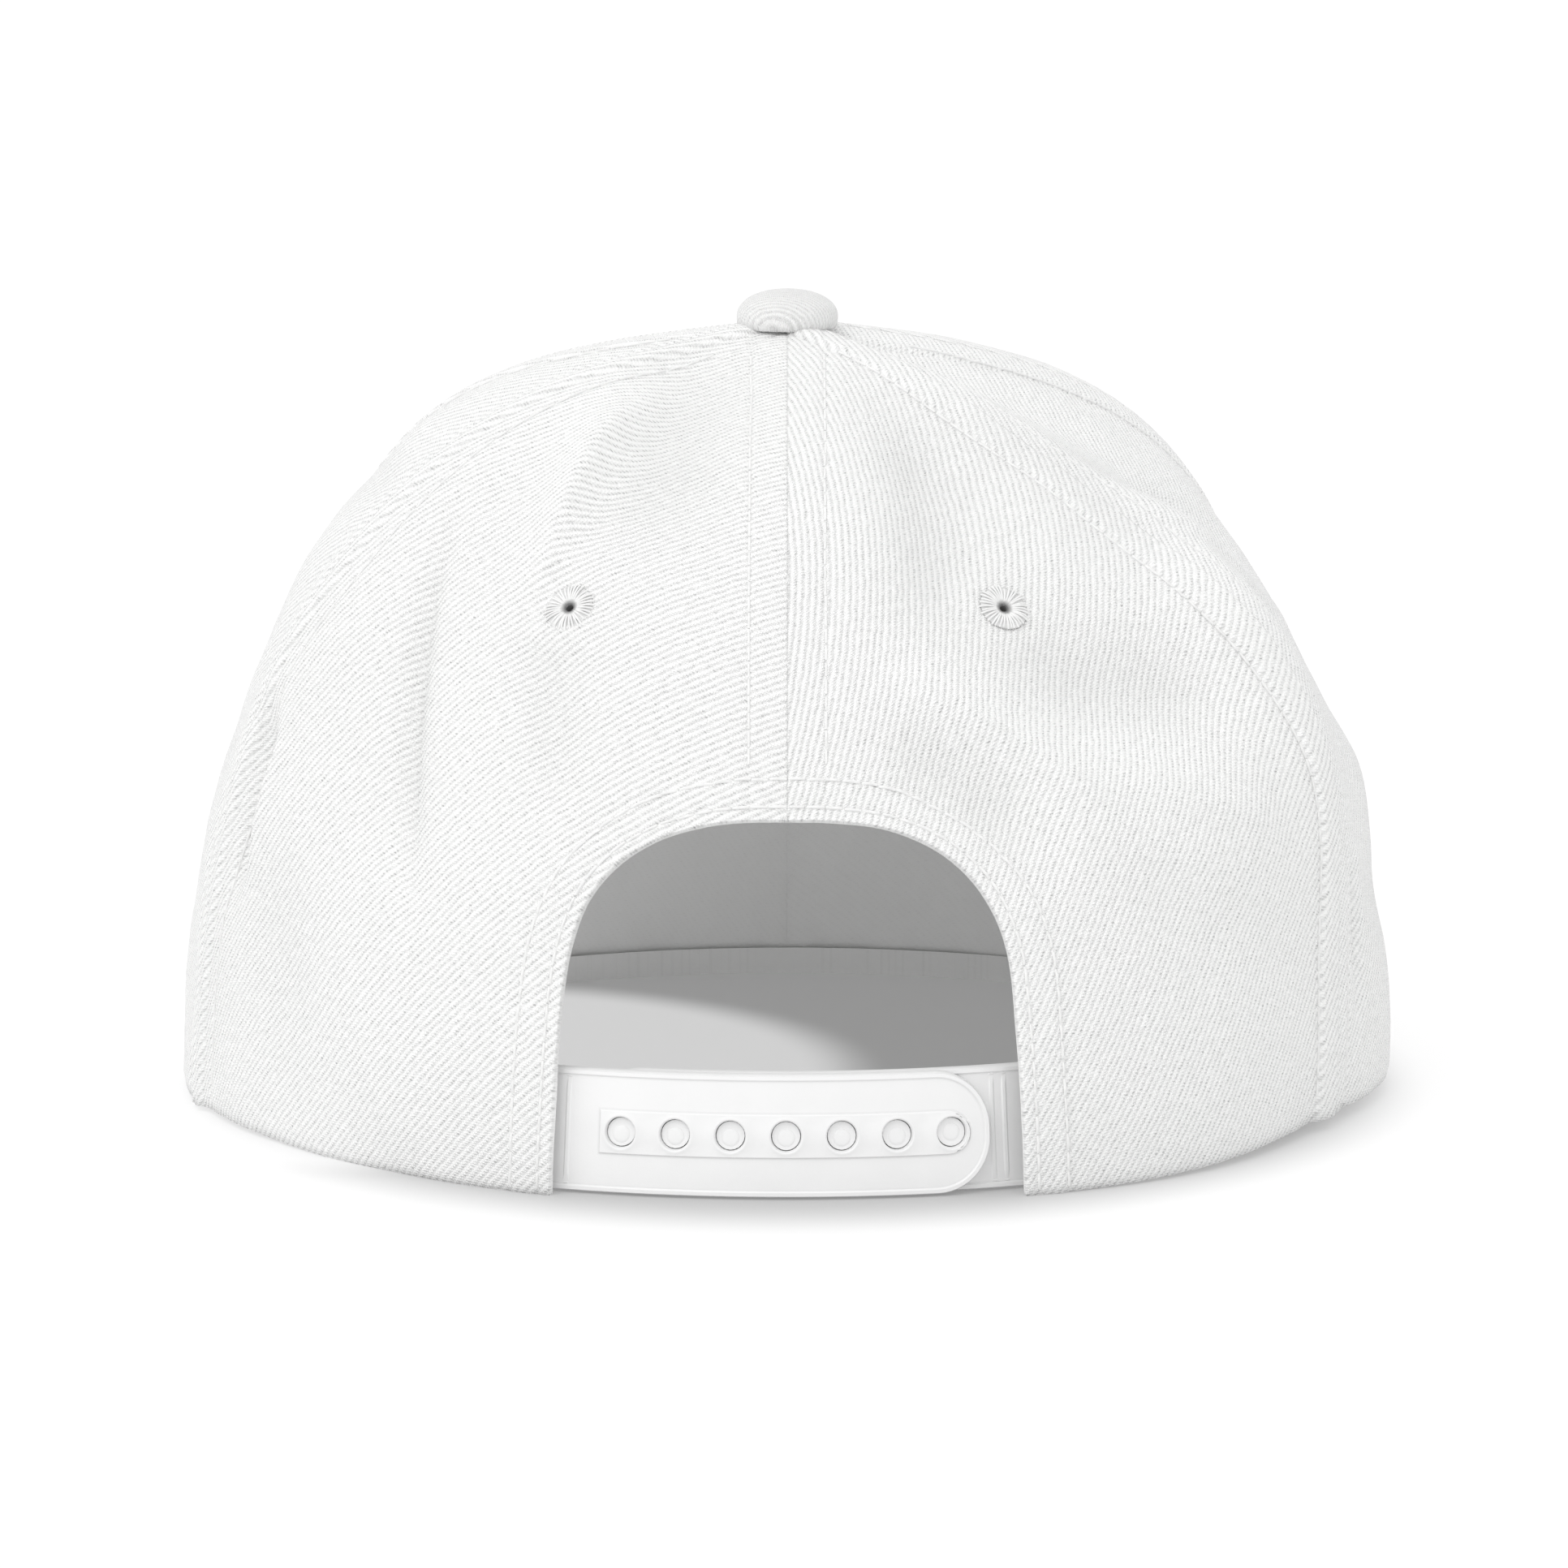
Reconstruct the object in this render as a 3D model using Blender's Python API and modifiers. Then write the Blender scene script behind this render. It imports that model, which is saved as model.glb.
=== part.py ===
"""White snapback cap: six cloth panels, flat visor, covered button, eyelets and snap strap.

The crown is one smooth surface, given by a few sections round the button's axis and a table of
folds. A place on it is a turn, in degrees round the axis from the middle of the back with the
wearer's left side positive, and a share, from 0 at the top to 1 at the rim. Sizes in the tables
are millimetres and degrees. Y runs towards the back, X towards the wearer's left, Z up.
"""
import math
from collections import namedtuple

import bmesh
import bpy
import numpy as np
from mathutils import Vector

MM = 0.001

# crown
APEX_HEIGHT = 116.3
TOP_SHARE = 0.018
WALL = 1.8
SEAM_GAP = 0.5

Section = namedtuple(
    "Section", "turn rim_radius rim_height top_slope top_reach wall_lean wall_reach")
SECTIONS = [
    Section(-150, 88.0, 3.6, 10.0, 70.0, 6.0, 86.0),
    Section(-122, 86.0, 3.6, 8.5, 92.0, 7.5, 82.0),
    Section(-109, 88.8, 3.5, 12.5, 72.0, 3.0, 79.0),
    Section(-90, 91.5, 2.0, 18.0, 48.0, -2.0, 76.0),
    Section(-62, 88.5, 1.8, 13.0, 56.0, -2.0, 86.0),
    Section(-38, 92.5, 0.5, 10.0, 48.0, 2.0, 68.0),
    Section(-21, 92.5, 0.0, 9.0, 47.0, 4.0, 67.0),
    Section(0, 90.0, 0.0, 9.0, 47.0, 3.0, 66.0),
    Section(21, 92.0, 0.0, 9.0, 47.0, 4.0, 67.0),
    Section(45, 89.5, 0.0, 8.0, 52.0, 2.0, 72.0),
    Section(68, 90.5, 0.8, 5.5, 63.0, 1.0, 84.0),
    Section(90, 91.7, 1.0, 10.0, 55.0, 0.0, 77.0),
    Section(109, 90.2, 3.5, 9.5, 68.0, 3.5, 92.0),
    Section(122, 88.7, 3.6, 9.0, 75.0, 6.5, 99.0),
    Section(150, 88.5, 3.6, 10.0, 68.0, 6.0, 88.0),
    Section(180, 89.0, 3.6, 11.0, 64.0, 6.0, 86.0),
]

# the turn of each seam at a few shares on the way down
SeamRow = namedtuple("SeamRow", "share back side_left side_right front_left front_right front")
SEAMS = [
    SeamRow(0.00, 0, 62, -54, 120, -120, 180),
    SeamRow(0.25, 0, 67, -56.5, 120, -120, 180),
    SeamRow(0.45, 0, 67, -58.5, 120, -120, 180),
    SeamRow(0.55, 0, 68, -60.5, 120, -120, 180),
    SeamRow(0.65, 0, 71.5, -63.5, 120, -120, 180),
    SeamRow(0.80, 0, 74, -66.5, 120, -120, 180),
    SeamRow(1.00, 0, 76, -66, 120, -120, 180),
]

# a fold runs through three places (turn, share) and stands out by rise, or sinks where it is
# negative; its widths are to its left and right, seen from outside with its start on top
Fold = namedtuple("Fold", "name start middle end rise left_width right_width crispness")
FOLDS = [
    Fold("left crown ridge", (50, 0.14), (40, 0.34), (36, 0.53), 1.8, 8, 4, 1.5),
    Fold("left crown valley", (50, 0.05), (29, 0.26), (20, 0.50), -2.8, 8, 11, 2.0),
    Fold("left long crease", (57, 0.38), (46, 0.65), (35, 0.88), -1.8, 5, 5, 1.3),
    Fold("left eyelet pucker", (37, 0.48), (28, 0.61), (23, 0.73), -1.3, 6, 8, 2.0),
    Fold("left seam pocket", (72, 0.66), (69, 0.77), (71, 0.89), -2.6, 3, 4, 2.0),
    Fold("left skirt swell", (47, 0.70), (43, 0.85), (38, 1.00), 1.5, 14, 12, 2.0),
    Fold("lower left dent", (64, 0.78), (58, 0.88), (54, 1.00), -1.2, 10, 10, 2.0),
    Fold("right crown valley", (-46, 0.12), (-28, 0.37), (-15, 0.62), -2.6, 9, 10, 2.0),
    Fold("right diagonal ridge", (-8, 0.54), (-26, 0.635), (-37, 0.74), 1.5, 4, 4, 1.5),
    Fold("right hollow", (-10, 0.60), (-21, 0.67), (-30, 0.76), -1.2, 8, 8, 2.0),
    Fold("right upper hollow", (-18, 0.50), (-44, 0.595), (-66, 0.70), -2.6, 14, 12, 2.0),
    Fold("right swell", (-22, 0.66), (-44, 0.75), (-60, 0.88), 2.8, 9, 16, 2.0),
    Fold("right seam dent", (-58, 0.16), (-56, 0.36), (-58, 0.56), -2.4, 12, 12, 2.0),
    Fold("right seam shoulder", (-60, 0.46), (-64, 0.68), (-66, 0.92), 4.0, 13, 13, 2.0),
    Fold("left side valley", (78, 0.22), (84, 0.48), (88, 0.74), -2.8, 8, 8, 2.0),
    Fold("left dome edge", (90, 0.42), (104, 0.475), (120, 0.50), -1.4, 6, 6, 2.0),
    Fold("right side ridge", (-56, 0.38), (-80, 0.51), (-104, 0.64), 2.0, 5, 12, 2.0),
    Fold("right side valley", (-62, 0.30), (-84, 0.43), (-108, 0.525), -2.4, 8, 6, 2.0),
    Fold("right side bump", (-72, 0.72), (-92, 0.76), (-112, 0.77), 1.4, 8, 8, 2.0),
    Fold("right side pinch", (-70, 0.83), (-90, 0.87), (-110, 0.87), -1.3, 8, 8, 2.0),
]
FOLD_SAMPLES = 33
FOLD_FADE = 0.4

# back opening, in turn and share: a rounded arch on straight legs
ARCH_TOP_SHARE = 0.695
ARCH_SPRING_SHARE = 0.86
ARCH_TURN = 21.9
ARCH_ROUNDNESS = 2.7

# a panel between two seams, with its count of columns
Panel = namedtuple("Panel", "name first_seam last_seam columns eyelet")
PANELS = [
    Panel("back_left", "back", "side_left", 16, (31, 0.50)),
    Panel("back_right", "side_right", "back", 16, (-31.5, 0.49)),
    Panel("side_left", "side_left", "front_left", 12, (90, 0.45)),
    Panel("side_right", "front_right", "side_right", 13, (-91, 0.47)),
    Panel("front_left", "front_left", "front", 11, (148, 0.44)),
    Panel("front_right", "front", "front_right", 11, (-148, 0.44)),
]
PANEL_ROWS = 20
BACK_SEAM_ROWS = 11
ARCH_ROWS = 9
LEG_ROWS = 3
BACK_OUTER_SHARES = (0.58, 0.82)

# eyelets: heights are over the cloth's outer face
EYELET_BORE = 1.0
EYELET_BARREL = 1.6
EYELET_RADIUS = 3.7
EYELET_BACK_RADIUS = 3.3
EYELET_LIFT = 0.45
EYELET_THICKNESS = 0.7
EYELET_SIDES = 12
EYELET_CUT_RADIUS = 2.1
EYELET_CALM_RADIUS = 4.2
EYELET_CALM_FADE = 5.0

# top button: heights are over the floor
BUTTON_RADIUS = 7.65
BUTTON_TOP = 121.1
BUTTON_RIM = 116.0
BUTTON_POST_RADIUS = 1.5
BUTTON_PLATE_RADIUS = 4.5
BUTTON_PLATE_TOP = 112.6
BUTTON_PLATE_THICKNESS = 0.9
BUTTON_SIDES = 22

# visor: distance of its edge from the button's axis at a few turns from the front
VisorRow = namedtuple("VisorRow", "off_front reach")
VISOR_EDGE = [
    VisorRow(0, 159.0),
    VisorRow(15, 156.0),
    VisorRow(28, 146.0),
    VisorRow(40, 128.0),
    VisorRow(52, 110.0),
    VisorRow(61, 98.0),
    VisorRow(67, 89.5),
]
VISOR_THICKNESS = 3.2
VISOR_TUCK = 3.0
VISOR_STEP = 4
VISOR_ROUND = 0.7

# snap strap: two plastic strips on one arc, which leans in by a share of its height as the wall does
STRAP_RADIUS = 93.0
STRAP_BACK = 88.5
STRAP_LEAN = 0.12
STRAP_BOTTOM = 0.3
STRAP_HEIGHT = 17.6
STRAP_THICKNESS = 1.5
STRAP_LAYER_GAP = 0.3
STRAP_CORNER = 7.6
STRAP_END_SQUEEZE = 0.72
SNAP_COUNT = 7
SNAP_PITCH = 8.15
SNAP_MIDDLE = 0.2
SNAP_HOLE_RADIUS = 2.2
HOLE_SIDES = 14
PEG_SIDES = 10
PEG_RADIUS = 1.4
PEG_SHY = 0.25
PEG_DROP = 0.3
StrapRow = namedtuple("StrapRow", "name sewn_end free_end layer")
STRAPS = [
    StrapRow("strap_left", 44.0, -30.2, 0),
    StrapRow("strap_right", -50.0, 30.5, 1),
]
STRAP_COLUMNS = 26
STRAP_ROWS = 4

CLOTH = ("white_twill", (0.86, 0.86, 0.85), 0.92)
PLASTIC = ("white_plastic", (0.84, 0.84, 0.84), 0.45)
THREAD = ("white_thread", (0.88, 0.88, 0.87), 0.85)


def clear_scene():
    """Remove whatever the file opens with."""
    for old in list(bpy.data.objects):
        bpy.data.objects.remove(old, do_unlink=True)


def finish(recipe):
    """Return the plain material of a recipe, made once."""
    name, colour, roughness = recipe
    material = bpy.data.materials.get(name)
    if material is None:
        material = bpy.data.materials.new(name)
        material.use_nodes = True
        shader = material.node_tree.nodes["Principled BSDF"]
        shader.inputs["Base Color"].default_value = (*colour, 1.0)
        shader.inputs["Roughness"].default_value = roughness
        shader.inputs["Metallic"].default_value = 0.0
    return material


def place(mesh, name, recipe, collection, frame):
    """Make an object of a mesh, under the cap's frame."""
    piece = bpy.data.objects.new(name, mesh)
    mesh.materials.append(finish(recipe))
    piece.parent = frame
    collection.objects.link(piece)
    return piece


def smooth_value(knots, values, at):
    """Read a smooth curve through the knots."""
    knots = np.asarray(knots, float)
    values = np.asarray(values, float)
    slopes = np.gradient(values, knots)
    left = np.clip(np.searchsorted(knots, at, side="right") - 1, 0, len(knots) - 2)
    step = knots[left + 1] - knots[left]
    s = (at - knots[left]) / step
    ease = s * s * (3 - 2 * s)
    return (values[left] * (1 - ease) + values[left + 1] * ease
            + step * slopes[left] * s * (1 - s) ** 2
            - step * slopes[left + 1] * s * s * (1 - s))


def section_value(name, turn):
    """Read one column of the section table at any turn, all the way round."""
    turns = [row.turn for row in SECTIONS]
    values = [getattr(row, name) for row in SECTIONS]
    knots = [turn_at + lap for lap in (-360, 0, 360) for turn_at in turns]
    return smooth_value(knots, values * 3, turn)


def rim_level(turn):
    """Read the rim's height over the floor at any turn."""
    return np.maximum(section_value("rim_height", turn), 0.0)


def seam_turn(name, share):
    """Read a seam's turn at a share."""
    return smooth_value([row.share for row in SEAMS], [getattr(row, name) for row in SEAMS], share)


def smooth_crown(turn, share):
    """Return points of the crown without its folds, in metres."""
    turn, share = np.broadcast_arrays(np.asarray(turn, float), np.asarray(share, float))
    rim_radius = section_value("rim_radius", turn)
    rim_height = rim_level(turn)
    slope = np.radians(section_value("top_slope", turn))
    lean = np.radians(section_value("wall_lean", turn))
    top_reach = section_value("top_reach", turn)
    wall_reach = section_value("wall_reach", turn)
    start = (1 - share) ** 3
    upper = 3 * share * (1 - share) ** 2
    lower = 3 * share ** 2 * (1 - share)
    end = share ** 3
    radius = (upper * top_reach * np.cos(slope) + lower * (rim_radius - wall_reach * np.sin(lean))
              + end * rim_radius)
    height = (start * APEX_HEIGHT + upper * (APEX_HEIGHT - top_reach * np.sin(slope))
              + lower * (rim_height + wall_reach * np.cos(lean)) + end * rim_height)
    angle = np.radians(turn)
    return MM * np.stack([radius * np.sin(angle), radius * np.cos(angle), height], axis=-1)


def outward(surface, turn, share, turn_step=0.25, share_step=0.002):
    """Return unit vectors that point out of a surface."""
    inside = np.clip(share, 2 * share_step, 1 - share_step)
    down = surface(turn, inside + share_step) - surface(turn, inside - share_step)
    across = surface(turn + turn_step, inside) - surface(turn - turn_step, inside)
    normal = np.cross(across, down)
    return normal / np.linalg.norm(normal, axis=-1, keepdims=True)


def fold_path(fold):
    """Return a fold's centre line: points, directions along it and to its right, and length."""
    start, middle, end = (np.array(p, float) for p in (fold.start, fold.middle, fold.end))
    t = np.linspace(0, 1, FOLD_SAMPLES)[:, None]
    bend = 2 * middle - 0.5 * (start + end)
    route = (1 - t) ** 2 * start + 2 * t * (1 - t) * bend + t ** 2 * end
    points = smooth_crown(route[:, 0], route[:, 1])
    normals = outward(smooth_crown, route[:, 0], route[:, 1])
    ahead = np.gradient(points, axis=0)
    ahead /= np.linalg.norm(ahead, axis=1, keepdims=True)
    length = np.linalg.norm(np.diff(points, axis=0), axis=1).sum()
    return points, ahead, np.cross(normals, ahead), length


def fold_rise(points):
    """Return how far the folds push each point out, in metres."""
    flat = points.reshape(-1, 3)
    total = np.zeros(len(flat))
    for fold in FOLDS:
        path, ahead, rightward, length = fold_path(fold)
        reach = 2.6 * MM * max(fold.left_width, fold.right_width)
        near = np.linalg.norm(flat - path[FOLD_SAMPLES // 2], axis=1) < 0.62 * length + reach
        spots = flat[near]
        gaps = np.linalg.norm(spots[:, None, :] - path[None, :, :], axis=2)
        nearest = gaps.argmin(axis=1)
        offset = spots - path[nearest]
        forward = (offset * ahead[nearest]).sum(axis=1)
        across = (offset * rightward[nearest]).sum(axis=1)
        gap = np.sqrt(np.maximum((offset ** 2).sum(axis=1) - forward ** 2, 0))
        along = nearest / (FOLD_SAMPLES - 1) + forward / length
        fade = np.clip(np.minimum(along, 1 - along) / FOLD_FADE, 0, 1)
        fade = fade ** 2 * (3 - 2 * fade)
        blend = 0.25 * MM * (fold.left_width + fold.right_width)
        side = 0.5 + 0.5 * np.clip(across / blend, -1, 1)
        width = MM * (fold.left_width + (fold.right_width - fold.left_width) * side)
        total[near] += fold.rise * MM * fade * np.exp(-(gap / width) ** fold.crispness)
    return total.reshape(points.shape[:-1])


def calmed_rise(points):
    """Return the folds' rise, kept even round each eyelet, where the stitches hold the cloth."""
    rise = fold_rise(points)
    for panel in PANELS:
        centre = smooth_crown(*panel.eyelet)
        distance = np.linalg.norm(points - centre, axis=-1) / MM
        hold = np.clip(1 - (distance - EYELET_CALM_RADIUS) / EYELET_CALM_FADE, 0, 1)
        hold = hold ** 2 * (3 - 2 * hold)
        if hold.max() > 0:
            rise = rise + (fold_rise(centre[None, :])[0] - rise) * hold
    return rise


def crown(turn, share):
    """Return points of the crown's outer face with its folds, in metres."""
    turn, share = np.broadcast_arrays(np.asarray(turn, float), np.asarray(share, float))
    smooth = smooth_crown(turn, share)
    return smooth + calmed_rise(smooth)[..., None] * outward(smooth_crown, turn, share)


def wall_point(turn, share, depth):
    """Return points at a depth in mm under the crown's outer face, no lower than its rim."""
    point = crown(turn, share) - MM * depth[..., None] * outward(crown, turn, share)
    point[..., 2] = np.maximum(point[..., 2], MM * rim_level(turn))
    return point


def seam_edge(name, share, side):
    """Return the turn of a panel's edge, half a seam gap off the seam on one side."""
    turn = seam_turn(name, share)
    at = smooth_crown(turn, share)
    radius = np.hypot(at[..., 0], at[..., 1]) / MM
    return turn + side * np.degrees(0.5 * SEAM_GAP / radius)


def plain_panel(panel, across, down):
    """Return turns and shares of a panel between two seams, for fractions across and down."""
    share = TOP_SHARE + (1 - TOP_SHARE) * down
    first = seam_edge(panel.first_seam, share, 1)
    last = seam_edge(panel.last_seam, share, -1)
    if panel.first_seam == "front":
        first = first - 360
    return first + (last - first) * across, share


def arch_edge(down):
    """Return turn and share down the inner edge of a back panel: seam, arch, then leg."""
    seam_end = BACK_SEAM_ROWS / (BACK_SEAM_ROWS + ARCH_ROWS + LEG_ROWS)
    leg_start = (BACK_SEAM_ROWS + ARCH_ROWS) / (BACK_SEAM_ROWS + ARCH_ROWS + LEG_ROWS)
    on_seam = np.clip(down / seam_end, 0, 1)
    on_arch = np.clip((down - seam_end) / (leg_start - seam_end), 0, 1)
    on_leg = np.clip((down - leg_start) / (1 - leg_start), 0, 1)
    power = 2 / ARCH_ROUNDNESS
    swing = 0.5 * math.pi * on_arch
    span = ARCH_SPRING_SHARE - ARCH_TOP_SHARE
    share = (TOP_SHARE + (ARCH_TOP_SHARE - TOP_SHARE) * on_seam
             + span * (1 - np.cos(swing) ** power) + (1 - ARCH_SPRING_SHARE) * on_leg)
    turn = np.maximum(seam_edge("back", share, 1), ARCH_TURN * np.sin(swing) ** power)
    shares = (0.0, seam_end, leg_start, 1.0)
    outer = np.interp(down, shares, (TOP_SHARE, *BACK_OUTER_SHARES, 1.0))
    return turn, share, outer


def back_panel(panel, across, down):
    """Return turns and shares of a back panel, which the arch cuts into."""
    inner_turn, inner_share, outer_share = arch_edge(down)
    if panel.first_seam == "back":
        outer_turn = seam_edge(panel.last_seam, outer_share, -1)
        turn = inner_turn + (outer_turn - inner_turn) * across
        share = inner_share + (outer_share - inner_share) * across
    else:
        outer_turn = seam_edge(panel.first_seam, outer_share, 1)
        turn = outer_turn + (-inner_turn - outer_turn) * across
        share = outer_share + (inner_share - outer_share) * across
    return turn, share


def panel_mesh(panel):
    """Draw a panel as a flat grid, give it two faces, and wrap both on the crown."""
    is_back = "back" in (panel.first_seam, panel.last_seam)
    rows = BACK_SEAM_ROWS + ARCH_ROWS + LEG_ROWS if is_back else PANEL_ROWS
    work = bmesh.new()
    bmesh.ops.create_grid(work, x_segments=panel.columns, y_segments=rows, size=0.5)
    solid = bmesh.ops.extrude_face_region(work, geom=work.faces[:], use_keep_orig=True)
    for item in solid["geom"]:
        if isinstance(item, bmesh.types.BMVert):
            item.co.z = -1.0
    grid = np.array([vertex.co[:] for vertex in work.verts])
    across = 0.5 - grid[:, 0]
    down = 0.5 - grid[:, 1]
    layout = back_panel if is_back else plain_panel
    turn, share = layout(panel, 1 - across, down)
    points = wall_point(turn, share, -grid[:, 2] * WALL)
    for vertex, point in zip(work.verts, points):
        vertex.co = point
    bmesh.ops.recalc_face_normals(work, faces=work.faces[:])
    mesh = bpy.data.meshes.new("panel_" + panel.name)
    work.to_mesh(mesh)
    work.free()
    mesh.shade_smooth()
    mesh.set_sharp_from_angle(angle=math.radians(40))
    return mesh


def turned(name, profile, sides, recipe, collection, frame, closed):
    """Turn a profile of (radius, height) points in mm about the upright axis."""
    count = len(profile)
    edges = [(i, i + 1) for i in range(count - 1)]
    if closed:
        edges.append((count - 1, 0))
    mesh = bpy.data.meshes.new(name)
    mesh.from_pydata([(radius * MM, 0, height * MM) for radius, height in profile], edges, [])
    piece = place(mesh, name, recipe, collection, frame)
    screw = piece.modifiers.new("Turn", "SCREW")
    screw.steps = sides
    screw.render_steps = sides
    screw.use_merge_vertices = True
    screw.merge_threshold = 0.00005
    screw.use_smooth_shade = True
    return piece


def cut_with(piece, cutter, operation="DIFFERENCE"):
    """Cut a piece with a guide body, or join the body to it."""
    cut = piece.modifiers.new(cutter.name, "BOOLEAN")
    cut.operation = operation
    cut.object = cutter
    cut.solver = "EXACT"


def guide_cylinder(name, radius, depth, centre, direction, sides, collection, frame):
    """Make a hidden cylinder for cutting or joining, along a direction."""
    bpy.ops.mesh.primitive_cylinder_add(vertices=sides, radius=radius * MM, depth=depth * MM)
    guide = bpy.context.object
    guide.name = name
    for owner in list(guide.users_collection):
        owner.objects.unlink(guide)
    collection.objects.link(guide)
    guide.parent = frame
    guide.location = centre
    guide.rotation_euler = Vector(direction).to_track_quat("Z", "Y").to_euler()
    guide.hide_render = True
    guide.display_type = "WIRE"
    return guide


def build_panels(collection, guides, frame):
    """Build the six panels, each with a hole for its eyelet, and the eyelets."""
    low = -(WALL + EYELET_LIFT)
    profile = [
        (EYELET_BORE, EYELET_LIFT + 0.75 * EYELET_THICKNESS),
        (EYELET_BORE + 0.9, EYELET_LIFT + EYELET_THICKNESS),
        (EYELET_RADIUS - 0.8, EYELET_LIFT + EYELET_THICKNESS),
        (EYELET_RADIUS, EYELET_LIFT + 0.3 * EYELET_THICKNESS),
        (EYELET_RADIUS, EYELET_LIFT),
        (EYELET_BARREL, EYELET_LIFT),
        (EYELET_BARREL, low),
        (EYELET_BACK_RADIUS, low),
        (EYELET_BACK_RADIUS, low - 0.5),
        (EYELET_BORE, low - 0.5),
    ]
    for panel in PANELS:
        piece = place(panel_mesh(panel), "panel_" + panel.name, CLOTH, collection, frame)
        spot = Vector(crown(*panel.eyelet))
        facing = Vector(outward(crown, *panel.eyelet))
        guide = guide_cylinder("hole_" + panel.name, EYELET_CUT_RADIUS, 6 * WALL, spot, facing,
                               EYELET_SIDES, guides, frame)
        cut_with(piece, guide)
        eyelet = turned("eyelet_" + panel.name, profile, EYELET_SIDES, THREAD, collection, frame,
                        closed=True)
        eyelet.location = spot
        eyelet.rotation_euler = facing.to_track_quat("Z", "Y").to_euler()


def build_button(collection, frame):
    """Build the covered button with the post and plate that hold it."""
    dome = BUTTON_TOP - BUTTON_RIM
    plate_low = BUTTON_PLATE_TOP - BUTTON_PLATE_THICKNESS
    profile = [
        (0, BUTTON_TOP),
        (0.30 * BUTTON_RADIUS, BUTTON_RIM + 0.99 * dome),
        (0.58 * BUTTON_RADIUS, BUTTON_RIM + 0.92 * dome),
        (0.82 * BUTTON_RADIUS, BUTTON_RIM + 0.76 * dome),
        (0.96 * BUTTON_RADIUS, BUTTON_RIM + 0.52 * dome),
        (BUTTON_RADIUS, BUTTON_RIM + 0.28 * dome),
        (0.99 * BUTTON_RADIUS, BUTTON_RIM + 0.10 * dome),
        (0.94 * BUTTON_RADIUS, BUTTON_RIM),
        (BUTTON_POST_RADIUS, BUTTON_RIM + 0.8),
        (BUTTON_POST_RADIUS, BUTTON_PLATE_TOP),
        (BUTTON_PLATE_RADIUS, BUTTON_PLATE_TOP),
        (BUTTON_PLATE_RADIUS, plate_low + 0.3),
        (BUTTON_PLATE_RADIUS - 0.4, plate_low),
        (0, plate_low),
    ]
    turned("top_button", profile, BUTTON_SIDES, CLOTH, collection, frame, closed=False)


def visor_reach(off_front):
    """Read the visor's reach at a turn off the front."""
    return smooth_value([row.off_front for row in VISOR_EDGE], [row.reach for row in VISOR_EDGE],
                        off_front)


def build_visor(collection, frame):
    """Build the flat visor: a crescent whose inner edge lies under the front panels' rim."""
    widest = VISOR_EDGE[-1].off_front
    offs = np.arange(-widest, widest + VISOR_STEP, VISOR_STEP, dtype=float)
    inner_radius = section_value("rim_radius", 180 + offs) - VISOR_TUCK
    outer_radius = visor_reach(np.abs(offs))
    outline = [(radius * math.sin(math.radians(off)), -radius * math.cos(math.radians(off)))
               for off, radius in zip(offs, outer_radius)]
    outline += [(radius * math.sin(math.radians(off)), -radius * math.cos(math.radians(off)))
                for off, radius in zip(offs[::-1], inner_radius[::-1])]
    curve = bpy.data.curves.new("visor_outline", "CURVE")
    curve.dimensions = "2D"
    curve.fill_mode = "BOTH"
    curve.extrude = 0.5 * VISOR_THICKNESS * MM
    spline = curve.splines.new("POLY")
    spline.points.add(len(outline) - 1)
    for point, (x, y) in zip(spline.points, outline):
        point.co = (x * MM, y * MM, 0, 1)
    spline.use_cyclic_u = True
    sketch = bpy.data.objects.new("visor_outline", curve)
    collection.objects.link(sketch)
    depsgraph = bpy.context.evaluated_depsgraph_get()
    mesh = bpy.data.meshes.new_from_object(sketch.evaluated_get(depsgraph))
    bpy.data.objects.remove(sketch)
    work = bmesh.new()
    work.from_mesh(mesh)
    bmesh.ops.remove_doubles(work, verts=work.verts[:], dist=0.00001)
    bmesh.ops.recalc_face_normals(work, faces=work.faces[:])
    work.to_mesh(mesh)
    work.free()
    mesh.name = "visor"
    visor = place(mesh, "visor", CLOTH, collection, frame)
    visor.location.z = 0.5 * VISOR_THICKNESS * MM
    rounding = visor.modifiers.new("Soft edge", "BEVEL")
    rounding.width = VISOR_ROUND * MM
    rounding.segments = 2
    rounding.limit_method = "ANGLE"
    rounding.angle_limit = math.radians(60)


def strap_point(along, height, depth):
    """Return a point of the strap's arc: mm along it, over its foot and under its outer face."""
    angle = along / STRAP_RADIUS
    radius = STRAP_RADIUS - depth - STRAP_LEAN * height
    return Vector((radius * math.sin(angle), STRAP_BACK - STRAP_RADIUS + radius * math.cos(angle),
                   STRAP_BOTTOM + height)) * MM


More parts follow.
